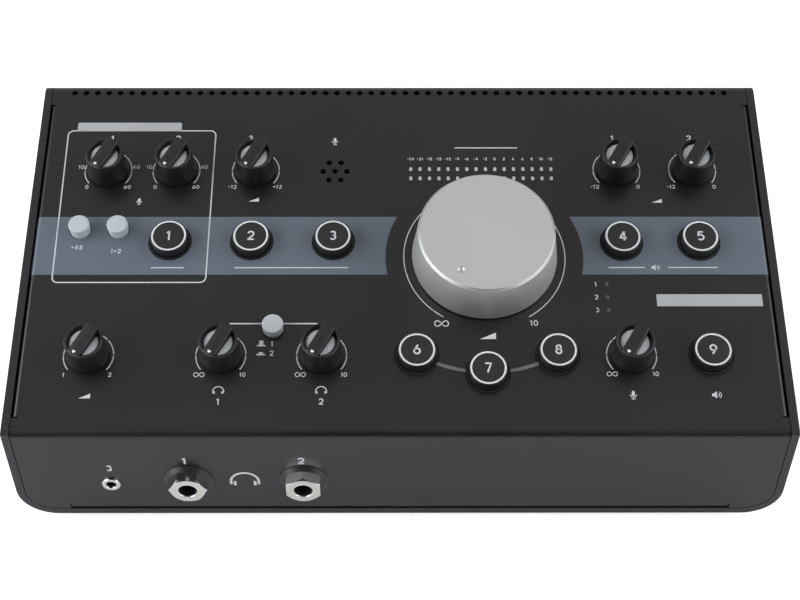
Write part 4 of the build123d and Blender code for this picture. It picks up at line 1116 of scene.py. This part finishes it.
run = np.linspace(-floor_reach, floor_reach, floor_lines)
across_floor, along_floor = np.meshgrid(run, run)
points = np.stack((across_floor, along_floor, 0 * along_floor), -1).reshape(-1, 3)
index = np.arange(floor_lines**2).reshape(floor_lines, floor_lines)
tiles = np.stack((index[:-1, :-1], index[:-1, 1:], index[1:, 1:], index[1:, :-1]), -1).reshape(-1, 4)
sheet = bpy.data.meshes.new("floor")
sheet.from_pydata(points.tolist(), [], tiles.tolist())
floor = bpy.data.objects.new("floor", sheet)
floor_plain = {"Roughness": 0.8, "Specular IOR Level": 0.1, "Emission Strength": 1.0}
floor_paper, tree, shader = blank("floor_paper", floor_plain)
place = node(tree, "TexCoord").outputs["Object"]
depth = node(tree, "SeparateXYZ", {0: place}).outputs[1]
past_card = ranged(tree, depth, card_far, card_near, interpolation_type="SMOOTHSTEP")
to_camera = node(tree, "LightPath").outputs["Is Camera Ray"]
seen = maths(tree, "MAXIMUM", past_card, to_camera)
fibres = node(tree, "TexNoise", {"Vector": place, "Scale": 60.0, "Detail": 3.0})
paper = between(tree, fibres.outputs["Fac"], paper_dark, paper_light)
tree.links.new(between(tree, seen, card_black, paper), shader.inputs["Base Color"])
tree.links.new(between(tree, to_camera, no_glow, floor_glow), shader.inputs["Emission Color"])
sheet.materials.append(floor_paper)
bpy.context.scene.collection.objects.link(floor)

softbox_width, softbox_height = 1.0, 1.9
light_colour, light_target = (0.93, 0.97, 1.0), (0.0, 0.0, 0.05)


def softbox(name, spot, radiance):
    """Rectangular light aimed at the object. Its power is pi times its area times its radiance."""
    lamp = bpy.data.lights.new(name, "AREA")
    lamp.shape = "RECTANGLE"
    lamp.size, lamp.size_y = softbox_width, softbox_height
    lamp.energy = np.pi * softbox_width * softbox_height * radiance
    lamp.color = light_colour
    thing = bpy.data.objects.new(name, lamp)
    facing = np.array(spot) - light_target
    facing /= np.linalg.norm(facing)
    sideways = np.cross((0.0, 1.0, 0.001), facing)
    sideways /= np.linalg.norm(sideways)
    turn = np.eye(4)
    turn[:3, :3] = np.array((sideways, np.cross(facing, sideways), facing)).T
    turn[:3, 3] = spot
    thing.matrix_world = Matrix(turn.tolist())
    thing.visible_camera = False
    bpy.context.scene.collection.objects.link(thing)


softbox("left_side", spot=(-1.15, -0.3, 0.55), radiance=4.2)
softbox("right_side", spot=(1.15, -0.3, 0.55), radiance=3.2)

sky_way, sky_low, sky_high = (0.0, 0.7, 0.9), 0.2, 0.75
sky_dim, sky_bright, sky_seen = 0.03, 0.56, 1.0
room = bpy.data.worlds.new("room")
bpy.context.scene.world = room
room.use_nodes = True
tree = room.node_tree
backdrop = tree.nodes["Background"]
way = node(tree, "TexCoord").outputs["Generated"]
height = node(tree, "VectorMath", {0: way, 1: sky_way}, operation="DOT_PRODUCT").outputs["Value"]
sky = ranged(tree, height, sky_low, sky_high, sky_dim, sky_bright, interpolation_type="SMOOTHSTEP")
to_camera = node(tree, "LightPath").outputs["Is Camera Ray"]
strength = node(tree, "Mix", {0: to_camera, 2: sky, 3: sky_seen}).outputs[0]
tree.links.new(strength, backdrop.inputs["Strength"])
backdrop.inputs["Color"].default_value = (1.0, 1.0, 1.0, 1.0)
